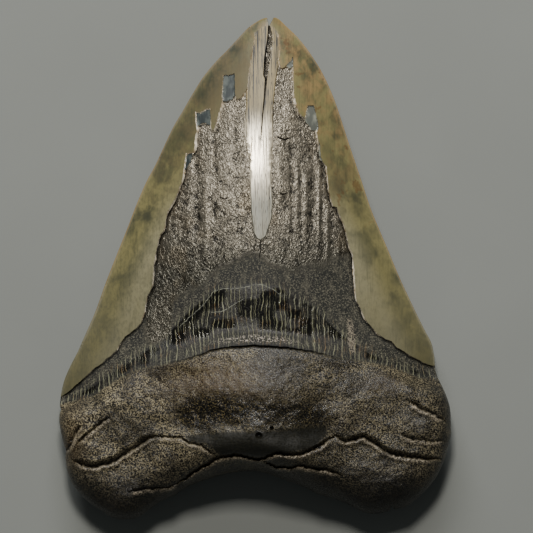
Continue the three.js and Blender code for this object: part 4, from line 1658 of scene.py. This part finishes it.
        # painted shade at the foot of the enamel breaks, and in the groove along the root line
        foot = field_mask * bell(to_break - wall - 0.15, 0.28) * smoothstep(44, 20, y)
        neck = bell(above - 0.1, 0.75) * bell(x - 3, 17)
        values = {
            "rim": to_rim,
            "height_up": y,
            "right": smoothstep(-5, 8, x),
            "window": self.losses.in_window(places).astype(float) * (y > 25),
            "hollow_shade": np.clip(hollow_shade, 0, 1),
            "root": smoothstep(-0.3, 0.3, -above),
            "grain": np.clip(coarse, 0, 1) * field_mask,
            "dark": np.clip(dark * (1 - 0.85 * ledge) * (1 - flange) * mix(0.82, 1, patches), 0, 1),
            "lines": lines * (1 - 0.4 * ledge),
            "pale": np.clip(flange * 0.15 + mineral * 0.75, 0, 1),
            "ledge": ledge * field_mask,
            "pored": pored * front,
            "ochre": self.spots(x, y, STAINS) * front * (above < 0),
            "cloud": self.spots(x, y, CLOUDS),
            "sheet": soft_area(places, NECK_SHEET, 0.7) * front,
            "rust": self.spots(x, y, RUST),
            "scorch": self.losses.window_tops(places),
            "lip": lip * front,
            "foot": np.clip(self.losses.split_shade(x, y) + foot + (shade + neck) * front, 0, 1),
        }
        for name, value in values.items():
            layer = mesh.attributes.new(name, "FLOAT", "POINT")
            layer.data.foreach_set("value", np.asarray(value, float))

    @staticmethod
    def spots(x: Array, y: Array, places: tuple[tuple[float, ...], ...]) -> Array:
        """A few soft patches, each with its middle, width, length and share.

        Args:
            x: Where, across the tooth.
            y: Where, from the root to the tip.
            places: Middle, width, length and share of each patch.

        Returns:
            The share at each place.
        """
        found = np.zeros(len(x))
        for sx, sy, width, length, share in places:
            found += share * np.exp(-(((x - sx) / width) ** 2) - ((y - sy) / length) ** 2)
        return np.clip(found, 0, 1)

    def fold_masks(self, places: Array) -> tuple[Array, Array]:
        """Where the folds get a painted highlight on their lower lips, and where folds and slits
        get painted shade.

        Args:
            places: Points, one row each.

        Returns:
            The share of painted highlight on the lips and the share of painted shade at each place.
        """
        lip, shade = np.zeros(len(places)), np.zeros(len(places))
        for crack, line in self.losses.cracks:
            near = nearest(places, line, 4)
            if crack.kind is CrackKind.SLIT:
                shade = np.maximum(shade, np.clip(1 - near.gap / crack.reach, 0, 1))
                continue
            ends = smoothstep(0, 0.12, np.minimum(near.along, 1 - near.along))
            upper = near.side > 0
            lip = np.maximum(lip, ends * ~upper * bell(near.gap - 0.55, 0.4))
            reach = 0.5 * crack.reach
            shade = np.maximum(shade, ends * upper * smoothstep(reach * 1.6, reach * 0.3, near.gap))
        return lip, shade


@dataclass
class Studio:
    """Pale floor, soft lights and a camera straight above the tooth."""

    distance: float = 2.4
    frame_width: float = 0.1439
    aim: tuple[float, float] = (0.00305, 0.00038)

    def floor(self) -> bpy.types.Object:
        """Make the floor.

        Returns:
            The floor.
        """
        bpy.ops.object.select_all(action="DESELECT")
        bpy.ops.mesh.primitive_plane_add(size=6, location=(0, 0, 0))
        floor = bpy.context.object
        floor.name = "floor"
        g = Graph("floor_paint")
        grain = g.noise(40, 3, 0.5)
        color = g.blend(linear(114, 117, 113), linear(121, 124, 120), grain)
        floor.data.materials.append(g.finish(color, 0.8, g.bump(grain * 0.02)))
        return floor

    def area_light(self, name: str, place: tuple[float, float, float], size: float,
                   watts: float, color: tuple[float, float, float]) -> None:
        """Add a square soft light that faces the tooth.

        Args:
            name: The light's name.
            place: Where it hangs, in metres.
            size: Length of its side in metres.
            watts: Its power.
            color: Its colour.
        """
        data = bpy.data.lights.new(name, "AREA")
        data.size = size
        data.energy = watts
        data.color = color
        light = bpy.data.objects.new(name, data)
        light.location = place
        aim = Vector((0, 0, 0)) - Vector(place)
        light.rotation_euler = aim.to_track_quat("-Z", "Y").to_euler()
        bpy.context.scene.collection.objects.link(light)

    def build(self) -> None:
        """Make floor, lights, world and camera."""
        self.floor()
        self.area_light("key", (-0.03, 0.45, 0.88), 0.16, 7.6, (1, 0.96, 0.9))
        self.area_light("fill", (-0.1, 0.85, 0.55), 0.6, 11, (1, 1, 1))
        world = bpy.data.worlds.new("studio")
        world.use_nodes = True
        world.node_tree.nodes["Background"].inputs[0].default_value = (0.8, 0.85, 0.85, 1)
        world.node_tree.nodes["Background"].inputs[1].default_value = 0.12
        bpy.context.scene.world = world
        data = bpy.data.cameras.new("camera")
        data.sensor_width = 36
        data.lens = 36 * self.distance / self.frame_width
        data.clip_end = 20
        camera = bpy.data.objects.new("camera", data)
        camera.location = (*self.aim, self.distance)
        bpy.context.scene.collection.objects.link(camera)
        bpy.context.scene.camera = camera


def main() -> None:
    """Build the tooth and the studio, and tie the tooth to its solid."""
    logging.basicConfig(level=logging.INFO)
    Studio().build()
    LOG.info("studio built")
    tooth = Tooth().build()
    LOG.info("tooth built with %d triangles", len(tooth.data.polygons))
    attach(tooth, "root")
    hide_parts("tooth")


if __name__ == "__main__":
    main()
